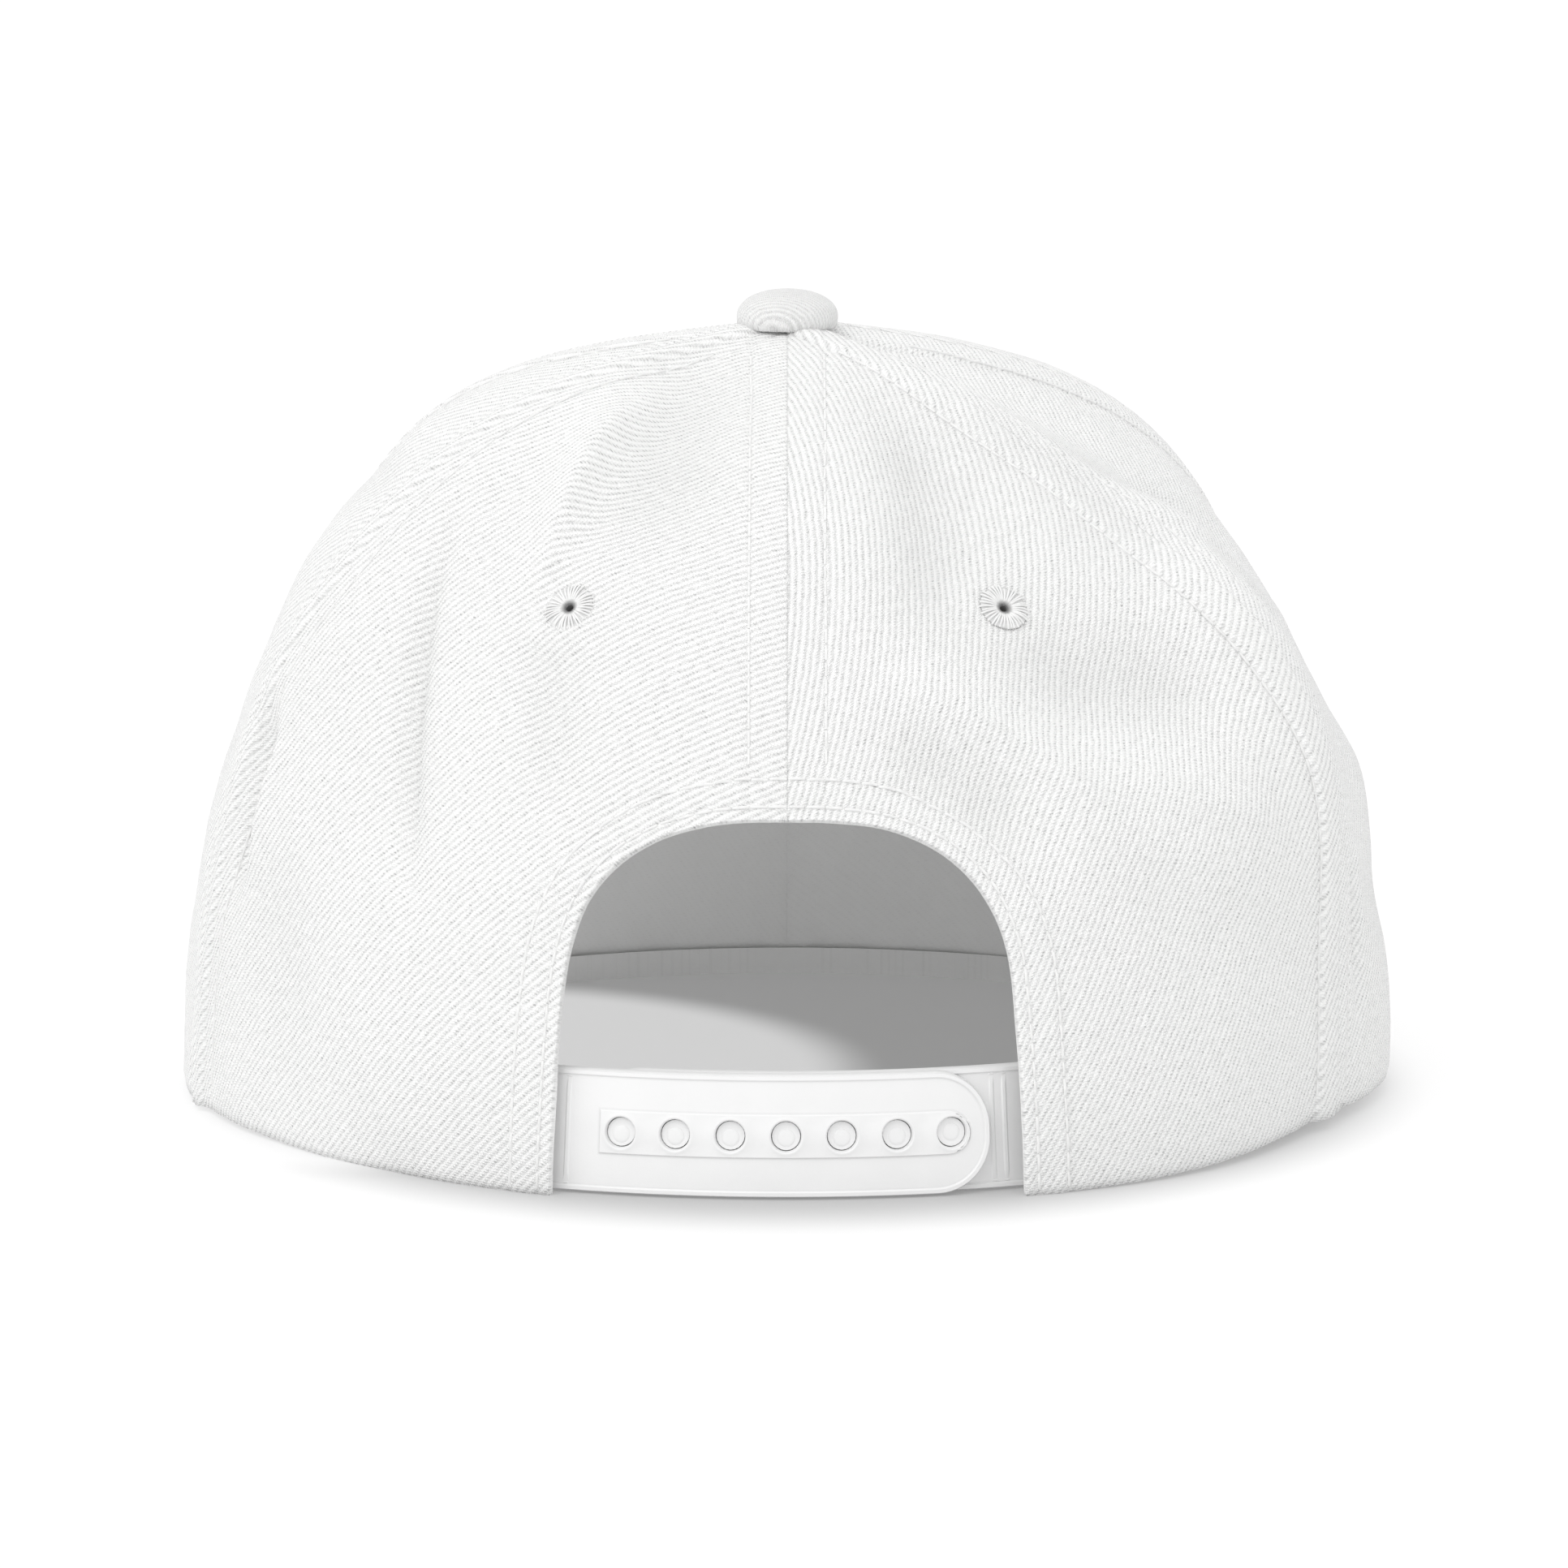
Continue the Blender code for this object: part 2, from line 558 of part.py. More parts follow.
def strap_mesh(strap):
    """Draw a strip as a flat grid with a rounded free end, and bend it on the strap's arc."""
    work = bmesh.new()
    bmesh.ops.create_grid(work, x_segments=STRAP_COLUMNS, y_segments=STRAP_ROWS, size=0.5)
    solid = bmesh.ops.extrude_face_region(work, geom=work.faces[:], use_keep_orig=True)
    for item in solid["geom"]:
        if isinstance(item, bmesh.types.BMVert):
            item.co.z = -1.0
    length = abs(strap.free_end - strap.sewn_end)
    towards = 1 if strap.free_end > strap.sewn_end else -1
    base_depth = strap.layer * (STRAP_THICKNESS + STRAP_LAYER_GAP)
    for vertex in work.verts:
        run = length * (vertex.co.x + 0.5) ** 0.85
        into_corner = max(0.0, run - (length - STRAP_CORNER)) / STRAP_CORNER
        squeeze = 1 - STRAP_END_SQUEEZE * (1 - math.sqrt(max(0.0, 1 - into_corner ** 2)))
        height = STRAP_HEIGHT * (0.5 + vertex.co.y * squeeze)
        depth = base_depth - vertex.co.z * STRAP_THICKNESS
        vertex.co = strap_point(strap.sewn_end + towards * run, height, depth)
    bmesh.ops.recalc_face_normals(work, faces=work.faces[:])
    mesh = bpy.data.meshes.new(strap.name)
    work.to_mesh(mesh)
    work.free()
    return mesh


def build_straps(collection, guides, frame):
    """Build the strip with holes and the strip whose pegs sit in them."""
    outer, inner = (place(strap_mesh(strap), strap.name, PLASTIC, collection, frame)
                    for strap in STRAPS)
    peg_length = STRAP_THICKNESS + STRAP_LAYER_GAP - PEG_SHY + 0.5 * STRAP_THICKNESS
    for number in range(SNAP_COUNT):
        along = SNAP_MIDDLE + SNAP_PITCH * (number - 0.5 * (SNAP_COUNT - 1))
        facing = strap_point(along, 0, 0) - strap_point(along, 0, 1) + Vector((0, 0, STRAP_LEAN * MM))
        hole = guide_cylinder(f"snap_hole_{number + 1}", SNAP_HOLE_RADIUS, 2 * STRAP_THICKNESS,
                              strap_point(along, 0.5 * STRAP_HEIGHT, 0.5 * STRAP_THICKNESS),
                              facing, HOLE_SIDES, guides, frame)
        cut_with(outer, hole)
        middle_depth = PEG_SHY + 0.5 * peg_length
        peg = guide_cylinder(f"snap_peg_{number + 1}", PEG_RADIUS, peg_length,
                             strap_point(along, 0.5 * STRAP_HEIGHT - PEG_DROP, middle_depth),
                             facing, PEG_SIDES, guides, frame)
        cut_with(inner, peg, "UNION")


def centre_over_origin(collection, frame):
    """Move the frame so that the cap's box is centred over the origin, its foot at zero."""
    depsgraph = bpy.context.evaluated_depsgraph_get()
    corners = []
    for piece in collection.objects:
        if piece.type == "MESH":
            seen = piece.evaluated_get(depsgraph)
            corners += [seen.matrix_world @ vertex.co for vertex in seen.data.vertices]
    for axis in range(2):
        values = [corner[axis] for corner in corners]
        frame.location[axis] = -0.5 * (min(values) + max(values))
    bpy.context.view_layer.update()


def main():
    """Build the whole cap."""
    clear_scene()
    cap = bpy.data.collections.new("snapback_cap")
    guides = bpy.data.collections.new("guides")
    bpy.context.scene.collection.children.link(cap)
    bpy.context.scene.collection.children.link(guides)
    frame = bpy.data.objects.new("cap_frame", None)
    cap.objects.link(frame)
    build_panels(cap, guides, frame)
    build_button(cap, frame)
    build_visor(cap, frame)
    build_straps(cap, guides, frame)
    centre_over_origin(cap, frame)


main()
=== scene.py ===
"""Looks of a white snapback cap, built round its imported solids.

Sizes in the classes and tables are millimetres and degrees, and meshes are metres. +Y points to the
back of the head, +X to the wearer's left and +Z up. A place on the crown is a turn, in degrees
round the button's upright axis from the middle of the back with the wearer's left side positive,
and a share, from 0 at the top to 1 at the rim.
"""
import logging
import math
from dataclasses import dataclass, field
from enum import Enum
from typing import Callable, Iterable, NamedTuple, Sequence

import bmesh
import bpy
import numpy as np
from mathutils import Matrix, Vector
from mathutils.bvhtree import BVHTree
from mathutils.geometry import delaunay_2d_cdt


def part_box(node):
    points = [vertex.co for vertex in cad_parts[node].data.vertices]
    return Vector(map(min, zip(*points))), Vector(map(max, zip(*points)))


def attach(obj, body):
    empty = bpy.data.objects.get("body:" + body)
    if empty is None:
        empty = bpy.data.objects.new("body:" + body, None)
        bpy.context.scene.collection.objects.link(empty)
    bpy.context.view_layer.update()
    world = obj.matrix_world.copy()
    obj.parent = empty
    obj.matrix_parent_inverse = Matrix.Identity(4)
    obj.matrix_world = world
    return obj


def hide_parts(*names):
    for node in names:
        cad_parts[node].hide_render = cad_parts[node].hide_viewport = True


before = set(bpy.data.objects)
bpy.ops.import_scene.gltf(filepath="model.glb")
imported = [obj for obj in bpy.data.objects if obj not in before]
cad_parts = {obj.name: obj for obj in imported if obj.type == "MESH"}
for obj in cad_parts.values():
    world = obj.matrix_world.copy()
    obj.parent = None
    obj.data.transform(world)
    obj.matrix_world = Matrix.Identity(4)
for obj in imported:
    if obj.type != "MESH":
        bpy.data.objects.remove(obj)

Array = np.ndarray
Value = float | bpy.types.NodeSocket

MM = 0.001
BODY = "root"
CLOTH_MAP = "cloth_mm"
# The first two attributes below carry painted shade. The first darkens seam grooves, eyelet holes, the button's gathers
# and the strap's step feet; the second darkens the folds' valleys. The third marks the plain inner face.
PAINTED_SHADE = "crevice"
PAINTED_FOLD_SHADE = "hollow"
INSIDE = "inside"

log = logging.getLogger("snapback_cap")


class Slot(Enum):
    """The record's material slots."""

    TWILL = "twill"
    THREAD = "thread"
    PLASTIC = "strap_plastic"


class Section(NamedTuple):
    """The crown's outline at one turn."""

    turn: float
    rim_radius: float
    rim_height: float
    top_slope: float
    top_reach: float
    wall_lean: float
    wall_reach: float


class SeamRow(NamedTuple):
    """The turn of each seam at one share."""

    share: float
    back: float
    side_left: float
    side_right: float
    front_left: float
    front_right: float
    front: float


class Fold(NamedTuple):
    """A fold through three places that stands out by rise, or sinks where it is negative."""

    name: str
    start: tuple[float, float]
    middle: tuple[float, float]
    end: tuple[float, float]
    rise: float
    left_width: float
    right_width: float
    crispness: float


SECTIONS = (
    Section(-150, 88.0, 3.6, 10.0, 70.0, 6.0, 86.0),
    Section(-122, 86.0, 3.6, 8.5, 92.0, 7.5, 82.0),
    Section(-109, 88.8, 3.5, 12.5, 72.0, 3.0, 79.0),
    Section(-90, 91.5, 2.0, 18.0, 48.0, -2.0, 76.0),
    Section(-62, 88.5, 1.8, 13.0, 56.0, -2.0, 86.0),
    Section(-38, 92.5, 0.5, 10.0, 48.0, 2.0, 68.0),
    Section(-21, 92.5, 0.0, 9.0, 47.0, 4.0, 67.0),
    Section(0, 90.0, 0.0, 9.0, 47.0, 3.0, 66.0),
    Section(21, 92.0, 0.0, 9.0, 47.0, 4.0, 67.0),
    Section(45, 89.5, 0.0, 8.0, 52.0, 2.0, 72.0),
    Section(68, 90.5, 0.8, 5.5, 63.0, 1.0, 84.0),
    Section(90, 91.7, 1.0, 10.0, 55.0, 0.0, 77.0),
    Section(109, 90.2, 3.5, 9.5, 68.0, 3.5, 92.0),
    Section(122, 88.7, 3.6, 9.0, 75.0, 6.5, 99.0),
    Section(150, 88.5, 3.6, 10.0, 68.0, 6.0, 88.0),
    Section(180, 89.0, 3.6, 11.0, 64.0, 6.0, 86.0),
)

SEAMS = (
    SeamRow(0.00, 0, 62, -54, 120, -120, 180),
    SeamRow(0.25, 0, 67, -56.5, 120, -120, 180),
    SeamRow(0.45, 0, 67, -58.5, 120, -120, 180),
    SeamRow(0.55, 0, 68, -60.5, 120, -120, 180),
    SeamRow(0.65, 0, 71.5, -63.5, 120, -120, 180),
    SeamRow(0.80, 0, 74, -66.5, 120, -120, 180),
    SeamRow(1.00, 0, 76, -66, 120, -120, 180),
)

FOLDS = (
    Fold("left crown ridge", (50, 0.14), (40, 0.34), (36, 0.53), 1.8, 8, 4, 1.5),
    Fold("left crown valley", (50, 0.05), (29, 0.26), (20, 0.50), -2.8, 8, 11, 2.0),
    Fold("left long crease", (57, 0.38), (46, 0.65), (35, 0.88), -1.8, 5, 5, 1.3),
    Fold("left eyelet pucker", (37, 0.48), (28, 0.61), (23, 0.73), -1.3, 6, 8, 2.0),
    Fold("left seam pocket", (72, 0.66), (69, 0.77), (71, 0.89), -2.6, 3, 4, 2.0),
    Fold("left skirt swell", (47, 0.70), (43, 0.85), (38, 1.00), 1.5, 14, 12, 2.0),
    Fold("lower left dent", (64, 0.78), (58, 0.88), (54, 1.00), -1.2, 10, 10, 2.0),
    Fold("right crown valley", (-46, 0.12), (-28, 0.37), (-15, 0.62), -2.6, 9, 10, 2.0),
    Fold("right diagonal ridge", (-8, 0.54), (-26, 0.635), (-37, 0.74), 1.5, 4, 4, 1.5),
    Fold("right hollow", (-10, 0.60), (-21, 0.67), (-30, 0.76), -1.2, 8, 8, 2.0),
    Fold("right upper hollow", (-18, 0.50), (-44, 0.595), (-66, 0.70), -2.6, 14, 12, 2.0),
    Fold("right swell", (-22, 0.66), (-44, 0.75), (-60, 0.88), 2.8, 9, 16, 2.0),
    Fold("right seam dent", (-58, 0.16), (-56, 0.36), (-58, 0.56), -2.4, 12, 12, 2.0),
    Fold("right seam shoulder", (-60, 0.46), (-64, 0.68), (-66, 0.92), 4.0, 13, 13, 2.0),
    Fold("left side valley", (78, 0.22), (84, 0.48), (88, 0.74), -2.8, 8, 8, 2.0),
    Fold("left dome edge", (90, 0.42), (104, 0.475), (120, 0.50), -1.4, 6, 6, 2.0),
    Fold("right side ridge", (-56, 0.38), (-80, 0.51), (-104, 0.64), 2.0, 5, 12, 2.0),
    Fold("right side valley", (-62, 0.30), (-84, 0.43), (-108, 0.525), -2.4, 8, 6, 2.0),
    Fold("right side bump", (-72, 0.72), (-92, 0.76), (-112, 0.77), 1.4, 8, 8, 2.0),
    Fold("right side pinch", (-70, 0.83), (-90, 0.87), (-110, 0.87), -1.3, 8, 8, 2.0),
)

CREASES = (
    Fold("left crown edge", (49, 0.14), (40, 0.35), (36, 0.51), 2.2, 4.5, 2.4, 1.5),
    Fold("left crown side", (46, 0.14), (35, 0.33), (31, 0.47), -1.0, 3, 6, 1.8),
    Fold("left crease edge", (57, 0.38), (48, 0.62), (38, 0.86), -1.4, 2.2, 1.6, 1.4),
    Fold("left crease lip", (54, 0.40), (45.5, 0.63), (36, 0.86), 0.7, 2, 5, 1.6),
    Fold("left pocket edge", (66, 0.70), (66, 0.78), (69, 0.86), 1.3, 2, 2, 1.6),
    Fold("left pocket dip", (69.5, 0.69), (68.5, 0.78), (71, 0.87), -1.2, 2, 2, 1.8),
    Fold("left low dent", (37, 0.50), (30, 0.60), (25, 0.72), -0.9, 4, 6, 2.0),
    Fold("right crown dip", (-40, 0.14), (-27, 0.36), (-16, 0.55), -1.0, 6, 7, 2.0),
    Fold("right diagonal edge", (-10, 0.55), (-25, 0.625), (-37, 0.73), 1.5, 3.2, 3.6, 1.5),
    Fold("right diagonal dip", (-8, 0.60), (-20, 0.67), (-31, 0.765), -1.3, 6, 6, 2.0),
    Fold("right swell edge", (-28, 0.65), (-45, 0.715), (-60, 0.84), 1.1, 4, 6, 1.8),
    Fold("right upper dip", (-26, 0.53), (-43, 0.60), (-60, 0.69), -1.0, 6, 6, 2.0),
    Fold("right low crease", (-73, 0.80), (-73, 0.88), (-72, 0.97), -1.2, 2, 2, 1.6),
)


def smooth_value(knots: Sequence[float], values: Sequence[float], at: Array) -> Array:
    """Read a smooth curve through knots.

    Args:
        knots: Rising places of the knots.
        values: The curve's value at each knot.
        at: Places to read.

    Returns:
        The curve's values at those places.
    """
    knots = np.asarray(knots, float)
    values = np.asarray(values, float)
    slopes = np.gradient(values, knots)
    left = np.clip(np.searchsorted(knots, at, side="right") - 1, 0, len(knots) - 2)
    step = knots[left + 1] - knots[left]
    s = (at - knots[left]) / step
    ease = s * s * (3 - 2 * s)
    return (values[left] * (1 - ease) + values[left + 1] * ease
            + step * slopes[left] * s * (1 - s) ** 2
            - step * slopes[left + 1] * s * s * (1 - s))


def eased(value: Array) -> Array:
    """Clip to 0 and 1 and ease both ends."""
    value = np.clip(value, 0, 1)
    return value * value * (3 - 2 * value)


def unit(vectors: Array) -> Array:
    """Scale vectors to length 1."""
    return vectors / np.maximum(np.linalg.norm(vectors, axis=-1, keepdims=True), 1e-12)


@dataclass
class CrownShape:
    """The outer face of the crown, with its folds."""

    axis: tuple[float, float]
    apex_height: float = 116.3
    calm_radius: float = 4.2
    calm_fade: float = 5.0
    fold_samples: int = 33
    fold_fade: float = 0.4
    calm_places: Sequence[tuple[float, float]] = ()

    def section_value(self, name: str, turn: Array) -> Array:
        """Read one column of the section table at any turn, all the way round."""
        turns = [row.turn for row in SECTIONS]
        values = [getattr(row, name) for row in SECTIONS]
        knots = [turn_at + lap for lap in (-360, 0, 360) for turn_at in turns]
        return smooth_value(knots, values * 3, turn)

    def rim_level(self, turn: Array) -> Array:
        """Read the rim's height over the floor at any turn."""
        return np.maximum(self.section_value("rim_height", turn), 0.0)

    def seam_turn(self, name: str, share: Array) -> Array:
        """Read a seam's turn at a share."""
        return smooth_value([row.share for row in SEAMS], [getattr(row, name) for row in SEAMS], share)

    def smooth(self, turn: Array, share: Array) -> Array:
        """Return points of the crown without its folds, in metres.

        Args:
            turn: Turns in degrees.
            share: Shares from the top to the rim.

        Returns:
            Points round the origin, with the button's axis at X and Y of 0.
        """
        turn, share = np.broadcast_arrays(np.asarray(turn, float), np.asarray(share, float))
        rim_radius = self.section_value("rim_radius", turn)
        rim_height = self.rim_level(turn)
        slope = np.radians(self.section_value("top_slope", turn))
        lean = np.radians(self.section_value("wall_lean", turn))
        top_reach = self.section_value("top_reach", turn)
        wall_reach = self.section_value("wall_reach", turn)
        start = (1 - share) ** 3
        upper = 3 * share * (1 - share) ** 2
        lower = 3 * share ** 2 * (1 - share)
        end = share ** 3
        radius = (upper * top_reach * np.cos(slope)
                  + lower * (rim_radius - wall_reach * np.sin(lean)) + end * rim_radius)
        height = (start * self.apex_height + upper * (self.apex_height - top_reach * np.sin(slope))
                  + lower * (rim_height + wall_reach * np.cos(lean)) + end * rim_height)
        angle = np.radians(turn)
        return MM * np.stack([radius * np.sin(angle), radius * np.cos(angle), height], axis=-1)

    def outward(self, turn: Array, share: Array) -> Array:
        """Return unit vectors that point out of the crown without its folds."""
        turn_step, share_step = 0.25, 0.002
        inside = np.clip(share, 2 * share_step, 1 - share_step)
        down = self.smooth(turn, inside + share_step) - self.smooth(turn, inside - share_step)
        across = self.smooth(turn + turn_step, inside) - self.smooth(turn - turn_step, inside)
        return unit(np.cross(across, down))

    def fold_rise(self, points: Array) -> Array:
        """Return how far the folds push each point out, in metres.

        Args:
            points: Points of the crown without its folds.

        Returns:
            One rise for each point.
        """
        flat = points.reshape(-1, 3)
        total = np.zeros(len(flat))
        for fold in FOLDS + CREASES:
            start, middle, end = (np.array(p, float) for p in (fold.start, fold.middle, fold.end))
            t = np.linspace(0, 1, self.fold_samples)[:, None]
            bend = 2 * middle - 0.5 * (start + end)
            route = (1 - t) ** 2 * start + 2 * t * (1 - t) * bend + t ** 2 * end
            path = self.smooth(route[:, 0], route[:, 1])
            normals = self.outward(route[:, 0], route[:, 1])
            ahead = unit(np.gradient(path, axis=0))
            rightward = np.cross(normals, ahead)
            length = np.linalg.norm(np.diff(path, axis=0), axis=1).sum()
            reach = 2.6 * MM * max(fold.left_width, fold.right_width)
            near = np.linalg.norm(flat - path[len(path) // 2], axis=1) < 0.62 * length + reach
            spots = flat[near]
            gaps = np.linalg.norm(spots[:, None, :] - path[None, :, :], axis=2)
            nearest = gaps.argmin(axis=1)
            offset = spots - path[nearest]
            forward = (offset * ahead[nearest]).sum(axis=1)
            across = (offset * rightward[nearest]).sum(axis=1)
            gap = np.sqrt(np.maximum((offset ** 2).sum(axis=1) - forward ** 2, 0))
            along = nearest / (self.fold_samples - 1) + forward / length
            fade = eased(np.minimum(along, 1 - along) / self.fold_fade)
            blend = 0.25 * MM * (fold.left_width + fold.right_width)
            side = 0.5 + 0.5 * np.clip(across / blend, -1, 1)
            width = MM * (fold.left_width + (fold.right_width - fold.left_width) * side)
            total[near] += fold.rise * MM * fade * np.exp(-(gap / width) ** fold.crispness)
        return total.reshape(points.shape[:-1])

    def calmed_rise(self, points: Array) -> Array:
        """Return the folds' rise, kept even round each eyelet, where the stitches hold the cloth."""
        rise = self.fold_rise(points)
        for place in self.calm_places:
            centre = self.smooth(*place)
            distance = np.linalg.norm(points - centre, axis=-1) / MM
            hold = eased(1 - (distance - self.calm_radius) / self.calm_fade)
            if hold.max() > 0:
                rise = rise + (self.fold_rise(centre[None, :])[0] - rise) * hold
        return rise

    def surface(self, turn: Array, share: Array) -> tuple[Array, Array]:
        """Return points of the outer face with its folds, and the smooth crown's outward vectors.

        Args:
            turn: Turns in degrees.
            share: Shares from the top to the rim.

        Returns:
            Points in the row frame in metres, and unit vectors.
        """
        turn, share = np.broadcast_arrays(np.asarray(turn, float), np.asarray(share, float))
        smooth = self.smooth(turn, share)
        out = self.outward(turn, share)
        points = smooth + self.calmed_rise(smooth)[..., None] * out
        return points + np.array([*self.axis, 0.0]), out

    def depth_down(self, turn: Array, share: Array, steps: int = 14) -> Array:
        """Return the length in mm down the crown from its top to each place."""
        last = self.smooth(turn, np.zeros_like(share))
        total = np.zeros(share.shape)
        for step in range(1, steps + 1):
            point = self.smooth(turn, share * step / steps)
            total += np.linalg.norm(point - last, axis=-1)
            last = point
        return total / MM


@dataclass
class Waviness:
    """Small unevenness of worn cloth, as a sum of waves in fixed directions."""

    seed: int
    height: float
    wavelength: float
    waves: int = 14

    def at(self, points: Array) -> Array:
        """Return the unevenness in metres at points in metres."""
        random = np.random.default_rng(self.seed)
        directions = unit(random.normal(size=(self.waves, 3)))
        lengths = self.wavelength * MM * random.uniform(0.6, 1.7, self.waves)
        phases = random.uniform(0, 2 * math.pi, self.waves)
        total = np.zeros(points.shape[:-1])
        for direction, length, phase in zip(directions, lengths, phases):
            total += np.sin(points @ direction * 2 * math.pi / length + phase)
        return self.height * MM * total / math.sqrt(self.waves)


def set_vertex_values(mesh: bpy.types.Mesh, name: str, values: Array) -> None:
    """Store one number for each vertex as an attribute."""
    layer = mesh.attributes.new(name, "FLOAT", "POINT")
    layer.data.foreach_set("value", np.asarray(values, np.float32).ravel())


def set_map(mesh: bpy.types.Mesh, name: str, places: Array) -> None:
    """Store a UV map, given at the vertices."""
    layer = mesh.uv_layers.new(name=name)
    corners = np.empty(len(mesh.loops), np.int32)
    mesh.loops.foreach_get("vertex_index", corners)
    layer.data.foreach_set("uv", np.asarray(places, np.float32)[corners].ravel())


def link_piece(mesh: bpy.types.Mesh, name: str, material: bpy.types.Material) -> bpy.types.Object:
    """Make an object of a mesh, at the origin.

    Args:
        mesh: The finished mesh, in the row frame.
        name: The piece's name.
        material: Its finish.

    Returns:
        The new object, linked to the scene.
    """
    mesh.materials.clear()
    mesh.materials.append(material)
    piece = bpy.data.objects.new(name, mesh)
    bpy.context.scene.collection.objects.link(piece)
    return piece


def dress(piece: bpy.types.Object, replaced: Iterable[str] = ()) -> None:
    """Tie a piece to the body and hide the parts that it stands for."""
    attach(piece, BODY)
    if replaced:
        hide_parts(*replaced)
    log.info("%s: %d faces", piece.name, len(piece.data.polygons))


def layered_mesh(name: str, outer: Array, inner: Array, keep: Array, cloth_map: Array,
                 masks: dict[str, tuple[Array, Array]]) -> bpy.types.Mesh:
    """Make a closed sheet of two grids of points, without the cells that aren't kept.

    Args:
        name: The mesh's name.
        outer: Rows and columns of points of the outer face.
        inner: The same for the inner face.
        keep: For each cell of the grid, whether it is cloth.
        cloth_map: Place of each grid point on the flat cloth, in mm.
        masks: Values from 0 to 1 of each named attribute, at the outer and at the inner points.

    Returns:
        The mesh, with its faces pointing out.
    """
    rows, columns = outer.shape[:2]
    count = rows * columns
    index = np.arange(count).reshape(rows, columns)
    cells = np.stack([index[:-1, :-1], index[:-1, 1:], index[1:, 1:], index[1:, :-1]], axis=-1)
    quads = cells[keep]
    sides = np.concatenate([np.stack([quads[:, k], quads[:, (k + 1) % 4]], axis=1) for k in range(4)])
    keys = np.sort(sides, axis=1)
    keys = keys[:, 0] * count + keys[:, 1]
    unique, first, uses = np.unique(keys, return_index=True, return_counts=True)
    border = sides[first[uses == 1]]
    walls = np.stack([border[:, 1], border[:, 0], border[:, 0] + count, border[:, 1] + count], axis=1)
    faces = np.concatenate([quads, quads[:, ::-1] + count, walls])
    used = np.unique(faces)
    renumber = np.zeros(2 * count, np.int64)
    renumber[used] = np.arange(len(used))
    points = np.concatenate([outer.reshape(-1, 3), inner.reshape(-1, 3)])[used]
    mesh = bpy.data.meshes.new(name)
    mesh.from_pydata(points.tolist(), [], renumber[faces].tolist())
    mesh.update()
    set_map(mesh, CLOTH_MAP, np.tile(cloth_map.reshape(-1, 2), (2, 1))[used])
    for title, values in masks.items():
        set_vertex_values(mesh, title, np.concatenate([side.ravel() for side in values])[used])
    mesh.shade_smooth()
    return mesh


def grid_normals(points: Array) -> Array:
    """Return unit vectors square to a grid of points, from its neighbours."""
    down = np.gradient(points, axis=0)
    across = np.gradient(points, axis=1)
    return unit(np.cross(across, down))


def steadied(normals: Array, guide: Array) -> Array:
    """Turn vectors to a guide's side, and use the guide where they stray too far from it."""
    normals = normals * np.sign((normals * guide).sum(axis=-1, keepdims=True))
    trust = eased(((normals * guide).sum(axis=-1, keepdims=True) - 0.72) / 0.15)
    return unit(normals * trust + guide * (1 - trust))


class Wiring:
    """Adds nodes to a shader or geometry tree and joins them."""

    def __init__(self, tree: bpy.types.NodeTree) -> None:
        """Keep the tree that the nodes go in."""
        self.tree = tree

    def node(self, kind: str, **settings: object) -> bpy.types.Node:
        """Add a node and set its properties."""
        made = self.tree.nodes.new(kind)
        for name, value in settings.items():
            setattr(made, name, value)
        return made

    def feed(self, socket: bpy.types.NodeSocket, value: object) -> None:
        """Link another socket to an input, or set the input's own value."""
        if isinstance(value, bpy.types.NodeSocket):
            self.tree.links.new(value, socket)
        else:
            socket.default_value = value

    def fed(self, kind: str, inputs: dict[str | int, object], **settings: object) -> bpy.types.Node:
        """Add a node, set its properties and feed its inputs."""
        made = self.node(kind, **settings)
        for key, value in inputs.items():
            self.feed(made.inputs[key], value)
        return made

    def math(self, operation: str, *values: Value, clamp: bool = False) -> bpy.types.NodeSocket:
        """Add a Math node and return its output."""
        made = self.node("ShaderNodeMath", operation=operation, use_clamp=clamp)
        for socket, value in zip(made.inputs, values):
            self.feed(socket, value)
        return made.outputs[0]

    def vector(self, operation: str, *values: object) -> bpy.types.NodeSocket:
        """Add a Vector Math node and return its vector output."""
        made = self.node("ShaderNodeVectorMath", operation=operation)
        for socket, value in zip(made.inputs, values):
            self.feed(socket, value)
        return made.outputs[0]

    def spread(self, value: Value, low: float, high: float, to_low: Value = 0.0,
               to_high: Value = 1.0) -> bpy.types.NodeSocket:
        """Map a number from one range to another, eased at both ends."""
        made = self.fed("ShaderNodeMapRange", {"Value": value, "From Min": low, "From Max": high,
                                               "To Min": to_low, "To Max": to_high})
        made.interpolation_type = "SMOOTHSTEP"
        return made.outputs["Result"]

    def noise(self, place: bpy.types.NodeSocket, scale: Value, detail: float = 2.0) -> bpy.types.Node:
        """Add a Noise Texture node at a place."""
        return self.fed("ShaderNodeTexNoise", {"Vector": place, "Scale": scale, "Detail": detail})

    def mix(self, share: Value, first: object, second: object) -> bpy.types.NodeSocket:
        """Mix two colours."""
        made = self.node("ShaderNodeMix", data_type="RGBA")
        self.feed(made.inputs[0], share)
        self.feed(made.inputs[6], first)
        self.feed(made.inputs[7], second)
        return made.outputs[2]


